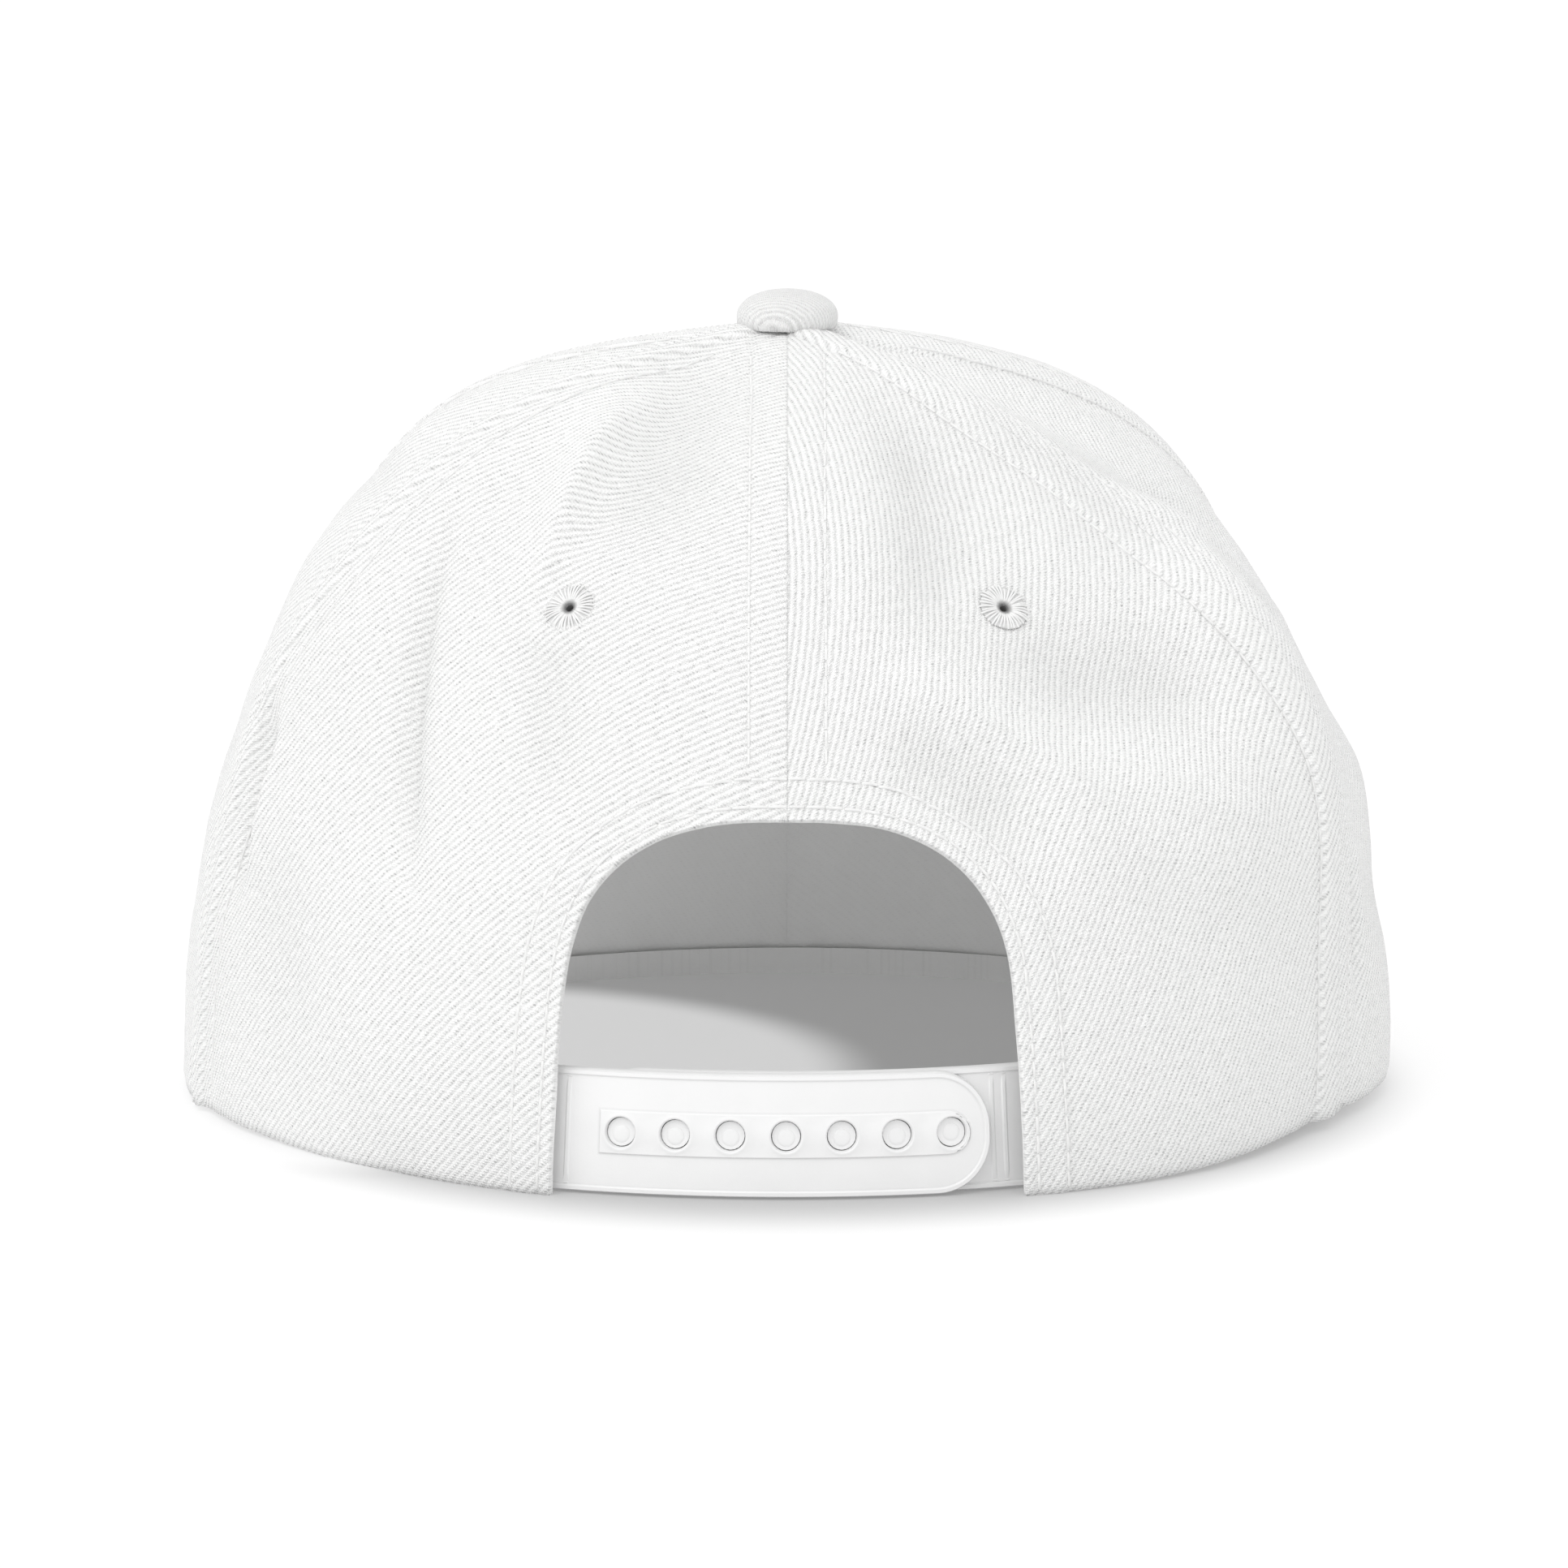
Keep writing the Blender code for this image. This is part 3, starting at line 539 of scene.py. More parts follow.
def new_group(name: str, kind: str, inputs: Sequence[tuple[str, str, object]],
              outputs: Sequence[tuple[str, str]]) -> tuple[Wiring, bpy.types.Node, bpy.types.Node]:
    """Make a node group with named sockets.

    Args:
        name: The group's name.
        kind: ShaderNodeTree or GeometryNodeTree.
        inputs: Name, socket type and default value of each input.
        outputs: Name and socket type of each output.

    Returns:
        The group's wiring, its input node and its output node.
    """
    tree = bpy.data.node_groups.new(name, kind)
    for title, socket_type, default in inputs:
        socket = tree.interface.new_socket(title, in_out="INPUT", socket_type=socket_type)
        if default is not None:
            socket.default_value = default
    for title, socket_type in outputs:
        tree.interface.new_socket(title, in_out="OUTPUT", socket_type=socket_type)
    wiring = Wiring(tree)
    return wiring, wiring.node("NodeGroupInput"), wiring.node("NodeGroupOutput")


def twill_group() -> bpy.types.NodeTree:
    """Build the group that draws a twill weave on a flat map in mm.

    Returns:
        A group with outputs Height, for bump, and Gap, a mask of the spots between floats where shade is painted.
    """
    wiring, given, result = new_group(
        "twill_weave", "ShaderNodeTree",
        [("Place", "NodeSocketVector", None), ("Warp Pitch", "NodeSocketFloat", 0.33),
         ("Weft Pitch", "NodeSocketFloat", 0.38), ("Shafts", "NodeSocketFloat", 4.0),
         ("Gap Length", "NodeSocketFloat", 0.56), ("Gap Width", "NodeSocketFloat", 0.23),
         ("Wander", "NodeSocketFloat", 0.1)],
        [("Height", "NodeSocketFloat"), ("Gap", "NodeSocketFloat")])
    wander = wiring.noise(given.outputs["Place"], 0.55, 3.0).outputs["Color"]
    centred = wiring.vector("SUBTRACT", wander, (0.5, 0.5, 0.5))
    shift = wiring.node("ShaderNodeVectorMath", operation="SCALE")
    wiring.feed(shift.inputs[0], centred)
    wiring.feed(shift.inputs["Scale"], wiring.math("MULTIPLY", given.outputs["Wander"], 6.0))
    place = wiring.vector("ADD", given.outputs["Place"], shift.outputs[0])
    axes = wiring.fed("ShaderNodeSeparateXYZ", {0: place})
    warp = wiring.math("DIVIDE", axes.outputs["X"], given.outputs["Warp Pitch"])
    weft = wiring.math("DIVIDE", axes.outputs["Y"], given.outputs["Weft Pitch"])
    pick = wiring.math("FLOOR", weft)
    repeat = wiring.math("DIVIDE", wiring.math("SUBTRACT", warp, pick), given.outputs["Shafts"])
    from_gap = wiring.math("SUBTRACT", wiring.math("FRACT", wiring.math("ADD", repeat, 0.5)), 0.5)
    span = wiring.math("MULTIPLY", given.outputs["Shafts"], given.outputs["Warp Pitch"])
    across = wiring.math("MULTIPLY", from_gap, span)
    along = wiring.math("MULTIPLY", wiring.math("SUBTRACT", wiring.math("FRACT", weft), 0.5),
                        given.outputs["Weft Pitch"])
    across_part = wiring.math("DIVIDE", across, given.outputs["Gap Length"])
    along_part = wiring.math("DIVIDE", along, given.outputs["Gap Width"])
    oval = wiring.math("ADD", wiring.math("POWER", wiring.math("ABSOLUTE", across_part), 2.0),
                       wiring.math("POWER", wiring.math("ABSOLUTE", along_part), 2.0))
    gap = wiring.spread(oval, 0.05, 0.42, 1.0, 0.0)
    dip = wiring.spread(oval, 0.0, 1.3, 0.0, 1.0)
    yarn = wiring.math("COSINE", wiring.math("MULTIPLY", warp, 2 * math.pi))
    ripple = wiring.math("MULTIPLY_ADD", yarn, 0.16, dip)
    wiring.feed(result.inputs["Height"], ripple)
    wiring.feed(result.inputs["Gap"], gap)
    return wiring.tree


def blotch_group() -> bpy.types.NodeTree:
    """Build the group of slow and fine changes that any white surface shows.

    Returns:
        A group with outputs Tone, about 0 to 1, and Grain, fine noise for bump.
    """
    wiring, given, result = new_group(
        "blotch", "ShaderNodeTree",
        [("Place", "NodeSocketVector", None), ("Slow Scale", "NodeSocketFloat", 60.0),
         ("Fine Scale", "NodeSocketFloat", 2500.0)],
        [("Tone", "NodeSocketFloat"), ("Grain", "NodeSocketFloat")])
    slow = wiring.noise(given.outputs["Place"], given.outputs["Slow Scale"], 4.0)
    fine = wiring.noise(given.outputs["Place"], given.outputs["Fine Scale"], 2.0)
    wiring.feed(result.inputs["Tone"], wiring.spread(slow.outputs[0], 0.3, 0.7))
    wiring.feed(result.inputs["Grain"], fine.outputs[0])
    return wiring.tree


class SharedGroups:
    """The shader node groups, each built once."""

    def __init__(self) -> None:
        """Build both groups."""
        self.twill = twill_group()
        self.blotch = blotch_group()


def blank_material(name: str) -> tuple[bpy.types.Material, Wiring, bpy.types.Node]:
    """Make a material and return it with its wiring and its Principled shader."""
    material = bpy.data.materials.new(name)
    material.use_nodes = True
    wiring = Wiring(material.node_tree)
    return material, wiring, material.node_tree.nodes["Principled BSDF"]


@dataclass(frozen=True)
class TwillFinish:
    """White cotton twill: long floats with painted shade in the small gaps between them, a soft fuzz and a slow change
    of tone.

    Its inner face is plain. Seam grooves and fold valleys get painted shade from vertex attributes.
    """

    name: str = "white_twill"
    float_colour: tuple[float, float, float] = (0.945, 0.945, 0.94)
    # The grey below is the colour of painted shade, in the weave's gaps, the seam grooves and the fold valleys, and of
    # the random change of tone.
    painted_shade_and_tone_colour: tuple[float, float, float] = (0.42, 0.42, 0.42)
    tone_share: float = 0.03
    gap_share: float = 0.9
    painted_shade_share: float = 0.5
    painted_fold_shade_share: float = 0.14
    roughness: float = 0.88
    sheen: float = 0.15
    bump: float = 0.16
    through: float = 0.2
    through_reach: float = 0.7

    def material(self, groups: SharedGroups) -> bpy.types.Material:
        """Build the material on the cloth map and the attributes of painted shade and of the inner face."""
        material, wiring, shader = blank_material(self.name)
        flat = wiring.node("ShaderNodeUVMap", uv_map=CLOTH_MAP)
        weave = wiring.node("ShaderNodeGroup", node_tree=groups.twill)
        wiring.feed(weave.inputs["Place"], flat.outputs["UV"])
        place = wiring.node("ShaderNodeTexCoord")
        blotch = wiring.node("ShaderNodeGroup", node_tree=groups.blotch)
        wiring.feed(blotch.inputs["Place"], place.outputs["Object"])
        crevice = wiring.node("ShaderNodeAttribute", attribute_name=PAINTED_SHADE)
        hollow = wiring.node("ShaderNodeAttribute", attribute_name=PAINTED_FOLD_SHADE)
        inside = wiring.node("ShaderNodeAttribute", attribute_name=INSIDE)
        woven_side = wiring.math("SUBTRACT", 1.0, inside.outputs["Fac"], clamp=True)
        uneven = wiring.noise(flat.outputs["UV"], 0.8, 2.0).outputs[0]
        # Painted shade in the weave's gaps between floats, weaker on the plain inner face.
        strength = wiring.math("MULTIPLY", weave.outputs["Gap"],
                               wiring.spread(uneven, 0.3, 0.75, 0.5 * self.gap_share, self.gap_share))
        spots = wiring.noise(flat.outputs["UV"], 2.3, 1.0).outputs[0]
        strength = wiring.math("MULTIPLY", strength, wiring.spread(spots, 0.35, 0.65, 0.45, 1.15))
        strength = wiring.math("MULTIPLY", strength, wiring.spread(woven_side, 0.0, 1.0, 0.1, 1.0))
        woven = wiring.mix(strength, (*self.float_colour, 1), (*self.painted_shade_and_tone_colour, 1))
        toned = wiring.mix(wiring.math("MULTIPLY", blotch.outputs["Tone"], self.tone_share), woven,
                           (*self.painted_shade_and_tone_colour, 1))
        # Painted shade: the seam grooves darken toward the grey, broken up by noise.
        broken = wiring.spread(wiring.noise(place.outputs["Object"], 620.0, 1.0).outputs[0], 0.40, 0.56,
                               0.15 * self.painted_shade_share, self.painted_shade_share)
        darker = wiring.mix(wiring.math("MULTIPLY", crevice.outputs["Fac"], broken), toned,
                            (*self.painted_shade_and_tone_colour, 1))
        # Painted shade: the folds' valleys darken toward the grey.
        sunk = wiring.mix(wiring.math("MULTIPLY", hollow.outputs["Fac"], self.painted_fold_shade_share), darker,
                          (*self.painted_shade_and_tone_colour, 1))
        wiring.feed(shader.inputs["Base Color"], sunk)
        relief = wiring.math("MULTIPLY", weave.outputs["Height"], woven_side)
        height = wiring.math("MULTIPLY_ADD", blotch.outputs["Grain"], 0.5, relief)
        bump = wiring.fed("ShaderNodeBump", {"Strength": 1.0, "Distance": self.bump * MM,
                                             "Height": height})
        wiring.feed(shader.inputs["Normal"], bump.outputs["Normal"])
        rough = wiring.spread(blotch.outputs["Grain"], 0.3, 0.7, self.roughness - 0.05, self.roughness + 0.05)
        wiring.feed(shader.inputs["Roughness"], rough)
        shader.inputs["Sheen Weight"].default_value = self.sheen
        shader.inputs["Sheen Roughness"].default_value = 0.5
        shader.inputs["Specular IOR Level"].default_value = 0.25
        shader.inputs["Subsurface Weight"].default_value = self.through
        shader.inputs["Subsurface Radius"].default_value = (1.0, 1.0, 1.0)
        shader.inputs["Subsurface Scale"].default_value = self.through_reach * MM
        return material


@dataclass(frozen=True)
class ThreadFinish:
    """Twisted white thread with a faint lustre."""

    name: str = "white_thread"
    colour: tuple[float, float, float] = (0.86, 0.86, 0.855)
    dark_colour: tuple[float, float, float] = (0.62, 0.62, 0.62)
    painted_shade_colour: tuple[float, float, float] = (0.16, 0.16, 0.16)
    roughness: float = 0.6

    def material(self, groups: SharedGroups) -> bpy.types.Material:
        """Build the material on Object coordinates and the painted shade attribute."""
        material, wiring, shader = blank_material(self.name)
        place = wiring.node("ShaderNodeTexCoord")
        blotch = wiring.node("ShaderNodeGroup", node_tree=groups.blotch)
        wiring.feed(blotch.inputs["Place"], place.outputs["Object"])
        blotch.inputs["Slow Scale"].default_value = 900.0
        blotch.inputs["Fine Scale"].default_value = 6000.0
        crevice = wiring.node("ShaderNodeAttribute", attribute_name=PAINTED_SHADE)
        share = wiring.math("MULTIPLY", blotch.outputs["Tone"], 0.3)
        toned = wiring.mix(share, (*self.colour, 1), (*self.dark_colour, 1))
        # Painted shade: darker toward the deep grey where the attribute marks the eyelet's hole and padded ring.
        wiring.feed(shader.inputs["Base Color"],
                    wiring.mix(crevice.outputs["Fac"], toned, (*self.painted_shade_colour, 1)))
        bump = wiring.fed("ShaderNodeBump", {"Strength": 0.6, "Distance": 0.08 * MM,
                                             "Height": blotch.outputs["Grain"]})
        wiring.feed(shader.inputs["Normal"], bump.outputs["Normal"])
        shader.inputs["Roughness"].default_value = self.roughness
        shader.inputs["Sheen Weight"].default_value = 0.2
        return material


@dataclass(frozen=True)
class PlasticFinish:
    """White moulded plastic with a faint grain, and painted shade at the feet of its steps and round its holes."""

    name: str = "white_plastic"
    colour: tuple[float, float, float] = (0.85, 0.85, 0.85)
    shade: tuple[float, float, float] = (0.56, 0.56, 0.56)
    roughness: float = 0.42
    painted_shade_share: float = 0.5

    def material(self, groups: SharedGroups) -> bpy.types.Material:
        """Build the material on Object coordinates and the painted shade attribute."""
        material, wiring, shader = blank_material(self.name)
        place = wiring.node("ShaderNodeTexCoord")
        blotch = wiring.node("ShaderNodeGroup", node_tree=groups.blotch)
        wiring.feed(blotch.inputs["Place"], place.outputs["Object"])
        blotch.inputs["Slow Scale"].default_value = 140.0
        blotch.inputs["Fine Scale"].default_value = 3200.0
        crevice = wiring.node("ShaderNodeAttribute", attribute_name=PAINTED_SHADE)
        toned = wiring.mix(wiring.math("MULTIPLY", blotch.outputs["Tone"], 0.06),
                           (*self.colour, 1), (*self.shade, 1))
        # Painted shade: darker toward the grey where the attribute marks a step's foot or a hole's edge.
        darker = wiring.mix(wiring.math("MULTIPLY", crevice.outputs["Fac"], self.painted_shade_share), toned,
                            (*self.shade, 1))
        wiring.feed(shader.inputs["Base Color"], darker)
        wiring.feed(shader.inputs["Roughness"],
                    wiring.spread(blotch.outputs["Grain"], 0.3, 0.7, self.roughness - 0.06,
                                  self.roughness + 0.08))
        bump = wiring.fed("ShaderNodeBump", {"Strength": 0.35, "Distance": 0.03 * MM,
                                             "Height": blotch.outputs["Grain"]})
        wiring.feed(shader.inputs["Normal"], bump.outputs["Normal"])
        return material


@dataclass
class Finishes:
    """The cap's materials: its twill, the same twill pulled flat over the button, thread, plastic."""

    twill: bpy.types.Material
    button_twill: bpy.types.Material
    thread: bpy.types.Material
    plastic: bpy.types.Material


def build_finishes() -> Finishes:
    """Build the shared groups and the materials that use them."""
    groups = SharedGroups()
    return Finishes(TwillFinish().material(groups),
                    TwillFinish(name="button_twill", gap_share=0.55).material(groups),
                    ThreadFinish().material(groups), PlasticFinish().material(groups))


def baked_copy(carrier: bpy.types.Object, tree: bpy.types.NodeTree, values: dict[str, object],
               name: str) -> bpy.types.Mesh:
    """Run a Geometry Nodes tree on an object and return the result as a plain mesh.

    Args:
        carrier: The object that the tree starts from, which is removed afterwards.
        tree: The tree.
        values: Value of each named input.
        name: The mesh's name.

    Returns:
        The mesh, with no modifier left.
    """
    modifier = carrier.modifiers.new("Repeat", "NODES")
    modifier.node_group = tree
    for item in tree.interface.items_tree:
        if item.item_type == "SOCKET" and item.in_out == "INPUT" and item.name in values:
            modifier[item.identifier] = values[item.name]
    depsgraph = bpy.context.evaluated_depsgraph_get()
    mesh = bpy.data.meshes.new_from_object(carrier.evaluated_get(depsgraph))
    carrier.modifiers.remove(modifier)
    start = carrier.data
    bpy.data.objects.remove(carrier)
    bpy.data.meshes.remove(start)
    mesh.name = name
    return mesh


def stitch_tree() -> bpy.types.NodeTree:
    """Build the tree that lays a bulging stitch at each point of a mesh.

    Returns:
        A tree that reads the point attributes ahead, facing and span, the last one in metres.
    """
    wiring, given, result = new_group(
        "lay_stitches", "GeometryNodeTree",
        [("Geometry", "NodeSocketGeometry", None), ("Thread", "NodeSocketFloat", 0.0005),
         ("Rise", "NodeSocketFloat", 0.0003), ("Uneven", "NodeSocketFloat", 0.12),
         ("Seed", "NodeSocketInt", 1), ("Material", "NodeSocketMaterial", None)],
        [("Geometry", "NodeSocketGeometry")])
    low = wiring.math("MULTIPLY", given.outputs["Rise"], -0.9)
    high = wiring.math("MULTIPLY", given.outputs["Rise"], 2.2)
    ends = [wiring.fed("ShaderNodeCombineXYZ", {"X": x, "Z": z}).outputs[0]
            for x, z in ((-0.5, low), (0.0, high), (0.5, low))]
    bow = wiring.fed("GeometryNodeCurveQuadraticBezier",
                     {"Resolution": 7, "Start": ends[0], "Middle": ends[1], "End": ends[2]})
    circle = wiring.fed("GeometryNodeCurvePrimitiveCircle", {"Resolution": 6})
    half = wiring.math("MULTIPLY", given.outputs["Thread"], 0.5)
    wiring.feed(circle.inputs["Radius"], half)
    tube = wiring.fed("GeometryNodeCurveToMesh", {"Curve": bow.outputs[0], "Profile Curve": circle.outputs[0],
                                                  "Fill Caps": True})
    ahead = wiring.node("GeometryNodeInputNamedAttribute", data_type="FLOAT_VECTOR")
    ahead.inputs["Name"].default_value = "ahead"
    facing = wiring.node("GeometryNodeInputNamedAttribute", data_type="FLOAT_VECTOR")
    facing.inputs["Name"].default_value = "facing"
    span = wiring.node("GeometryNodeInputNamedAttribute", data_type="FLOAT")
    span.inputs["Name"].default_value = "span"
    turn = wiring.node("FunctionNodeAxesToRotation", primary_axis="Z", secondary_axis="X")
    wiring.feed(turn.inputs[0], facing.outputs[0])
    wiring.feed(turn.inputs[1], ahead.outputs[0])
    jitter = wiring.node("FunctionNodeRandomValue", data_type="FLOAT")
    wiring.feed(jitter.inputs[2], wiring.math("SUBTRACT", 1.0, given.outputs["Uneven"]))
    wiring.feed(jitter.inputs[3], wiring.math("ADD", 1.0, given.outputs["Uneven"]))
    wiring.feed(jitter.inputs["Seed"], given.outputs["Seed"])
    length = wiring.math("MULTIPLY", span.outputs[0], jitter.outputs[1])
    scale = wiring.fed("ShaderNodeCombineXYZ", {"X": length, "Y": jitter.outputs[1], "Z": 1.0})
    laid = wiring.fed("GeometryNodeInstanceOnPoints",
                      {"Points": given.outputs["Geometry"], "Instance": tube.outputs[0],
                       "Rotation": turn.outputs[0], "Scale": scale.outputs[0]})
    real = wiring.fed("GeometryNodeRealizeInstances", {0: laid.outputs[0]})
    smooth = wiring.fed("GeometryNodeSetShadeSmooth", {0: real.outputs[0]})
    painted = wiring.fed("GeometryNodeSetMaterial", {"Geometry": smooth.outputs[0],
                                                     "Material": given.outputs["Material"]})
    wiring.feed(result.inputs[0], painted.outputs[0])
    return wiring.tree


def eyelet_tree() -> bpy.types.NodeTree:
    """Build the tree that lays bowed threads side by side round a ring.

    Returns:
        A tree that starts from any mesh, which it ignores.
    """
    wiring, given, result = new_group(
        "lay_eyelet", "GeometryNodeTree",
        [("Geometry", "NodeSocketGeometry", None), ("Count", "NodeSocketInt", 44),
         ("Inner Radius", "NodeSocketFloat", 0.001), ("Outer Radius", "NodeSocketFloat", 0.0037),
         ("Rise", "NodeSocketFloat", 0.0009), ("Thread", "NodeSocketFloat", 0.00042),
         ("Seed", "NodeSocketInt", 1), ("Material", "NodeSocketMaterial", None)],
        [("Geometry", "NodeSocketGeometry")])
    ring = wiring.fed("GeometryNodeMeshCircle", {"Vertices": given.outputs["Count"], "Radius": 0.00001})
    inner, outer = given.outputs["Inner Radius"], given.outputs["Outer Radius"]
    middle = wiring.math("MULTIPLY", wiring.math("ADD", inner, outer), 0.5)
    under = wiring.math("MULTIPLY", given.outputs["Rise"], -0.55)
    points = [wiring.fed("ShaderNodeCombineXYZ", {"X": x, "Z": z}).outputs[0]
              for x, z in ((inner, under), (middle, wiring.math("MULTIPLY", given.outputs["Rise"], 2.1)),
                           (outer, wiring.math("MULTIPLY", given.outputs["Rise"], 0.05)))]
    bow = wiring.fed("GeometryNodeCurveQuadraticBezier",
                     {"Resolution": 8, "Start": points[0], "Middle": points[1], "End": points[2]})
    circle = wiring.fed("GeometryNodeCurvePrimitiveCircle", {"Resolution": 6})
    wiring.feed(circle.inputs["Radius"], wiring.math("MULTIPLY", given.outputs["Thread"], 0.5))
    tube = wiring.fed("GeometryNodeCurveToMesh", {"Curve": bow.outputs[0], "Profile Curve": circle.outputs[0],
                                                  "Fill Caps": True})
    number = wiring.node("GeometryNodeInputIndex")
    step = wiring.math("DIVIDE", 2 * math.pi, given.outputs["Count"])
    sway = wiring.node("FunctionNodeRandomValue", data_type="FLOAT")
    wiring.feed(sway.inputs[2], -0.3)
    wiring.feed(sway.inputs[3], 0.3)
    wiring.feed(sway.inputs["Seed"], given.outputs["Seed"])
    angle = wiring.math("MULTIPLY", wiring.math("ADD", number.outputs[0], sway.outputs[1]), step)
    size = wiring.node("FunctionNodeRandomValue", data_type="FLOAT")
    wiring.feed(size.inputs[2], 0.88)
    wiring.feed(size.inputs[3], 1.08)
    wiring.feed(size.inputs["Seed"], wiring.math("ADD", given.outputs["Seed"], 7.0))
    rotation = wiring.fed("ShaderNodeCombineXYZ", {"Z": angle})
    scale = wiring.fed("ShaderNodeCombineXYZ", {"X": size.outputs[1], "Y": 1.0, "Z": size.outputs[1]})
    laid = wiring.fed("GeometryNodeInstanceOnPoints",
                      {"Points": ring.outputs[0], "Instance": tube.outputs[0],
                       "Rotation": rotation.outputs[0], "Scale": scale.outputs[0]})
    real = wiring.fed("GeometryNodeRealizeInstances", {0: laid.outputs[0]})
    smooth = wiring.fed("GeometryNodeSetShadeSmooth", {0: real.outputs[0]})
    painted = wiring.fed("GeometryNodeSetMaterial", {"Geometry": smooth.outputs[0],
                                                     "Material": given.outputs["Material"]})
    wiring.feed(result.inputs[0], painted.outputs[0])
    return wiring.tree


def peg_tree() -> bpy.types.NodeTree:
    """Build the tree that sets a domed peg on each point of a mesh.

    Returns:
        A tree that reads the point attribute facing.
    """
    wiring, given, result = new_group(
        "set_pegs", "GeometryNodeTree",
        [("Geometry", "NodeSocketGeometry", None), ("Radius", "NodeSocketFloat", 0.0014),
         ("Length", "NodeSocketFloat", 0.002), ("Dome", "NodeSocketFloat", 0.0005),
         ("Material", "NodeSocketMaterial", None)],
        [("Geometry", "NodeSocketGeometry")])
    ball = wiring.fed("GeometryNodeMeshUVSphere", {"Segments": 20, "Rings": 12, "Radius": 1.0})
    place = wiring.node("GeometryNodeInputPosition")
    axes = wiring.fed("ShaderNodeSeparateXYZ", {0: place.outputs[0]})
    raised = wiring.math("MULTIPLY", wiring.math("MAXIMUM", axes.outputs["Z"], 0.0), given.outputs["Dome"])
    sunk = wiring.math("MULTIPLY", wiring.math("MINIMUM", wiring.math("MULTIPLY", axes.outputs["Z"], 3.0), 0.0),
                       given.outputs["Length"])
    floor = wiring.math("MULTIPLY", given.outputs["Length"], -1.0)
    height = wiring.math("ADD", raised, wiring.math("MAXIMUM", sunk, floor))
    ring = wiring.math("SQRT", wiring.math("ADD", wiring.math("POWER", wiring.math("ABSOLUTE", axes.outputs["X"]), 2.0),
                                           wiring.math("POWER", wiring.math("ABSOLUTE", axes.outputs["Y"]), 2.0)))
    fuller = wiring.math("POWER", wiring.math("MAXIMUM", ring, 0.0001), 0.45)
    grow = wiring.math("DIVIDE", wiring.math("MULTIPLY", fuller, given.outputs["Radius"]),
                       wiring.math("MAXIMUM", ring, 0.0001))
    moved = wiring.fed("ShaderNodeCombineXYZ", {"X": wiring.math("MULTIPLY", axes.outputs["X"], grow),
                                                "Y": wiring.math("MULTIPLY", axes.outputs["Y"], grow),
                                                "Z": height})
    shaped = wiring.fed("GeometryNodeSetPosition", {"Geometry": ball.outputs[0], "Position": moved.outputs[0]})
    facing = wiring.node("GeometryNodeInputNamedAttribute", data_type="FLOAT_VECTOR")
    facing.inputs["Name"].default_value = "facing"
    turn = wiring.node("FunctionNodeAxesToRotation", primary_axis="Z", secondary_axis="X")
    wiring.feed(turn.inputs[0], facing.outputs[0])
    wiring.feed(turn.inputs[1], (0.0, 0.0, 1.0))
    laid = wiring.fed("GeometryNodeInstanceOnPoints",
                      {"Points": given.outputs["Geometry"], "Instance": shaped.outputs[0],
                       "Rotation": turn.outputs[0]})
    real = wiring.fed("GeometryNodeRealizeInstances", {0: laid.outputs[0]})
    smooth = wiring.fed("GeometryNodeSetShadeSmooth", {0: real.outputs[0]})
    painted = wiring.fed("GeometryNodeSetMaterial", {"Geometry": smooth.outputs[0],
                                                     "Material": given.outputs["Material"]})
    wiring.feed(result.inputs[0], painted.outputs[0])
    return wiring.tree


def point_carrier(points: Array, vectors: dict[str, Array], numbers: dict[str, Array]) -> bpy.types.Object:
    """Make an object of loose points with attributes, for a Geometry Nodes tree to start from."""
    mesh = bpy.data.meshes.new("points")
    mesh.from_pydata(np.asarray(points).tolist(), [], [])
    for name, values in vectors.items():
        layer = mesh.attributes.new(name, "FLOAT_VECTOR", "POINT")
        layer.data.foreach_set("vector", np.asarray(values, np.float32).ravel())
    for name, values in numbers.items():
        set_vertex_values(mesh, name, values)
    carrier = bpy.data.objects.new("points", mesh)
    bpy.context.scene.collection.objects.link(carrier)
    return carrier


def evenly(path: Array, pitch: float) -> Array:
    """Return points at even steps of about a pitch along a polyline, both in metres."""
    lengths = np.concatenate([[0], np.cumsum(np.linalg.norm(np.diff(path, axis=0), axis=1))])
    count = max(2, int(round(lengths[-1] / pitch)) + 1)
    at = np.linspace(0, lengths[-1], count)
    return np.stack([np.interp(at, lengths, path[:, axis]) for axis in range(3)], axis=1)


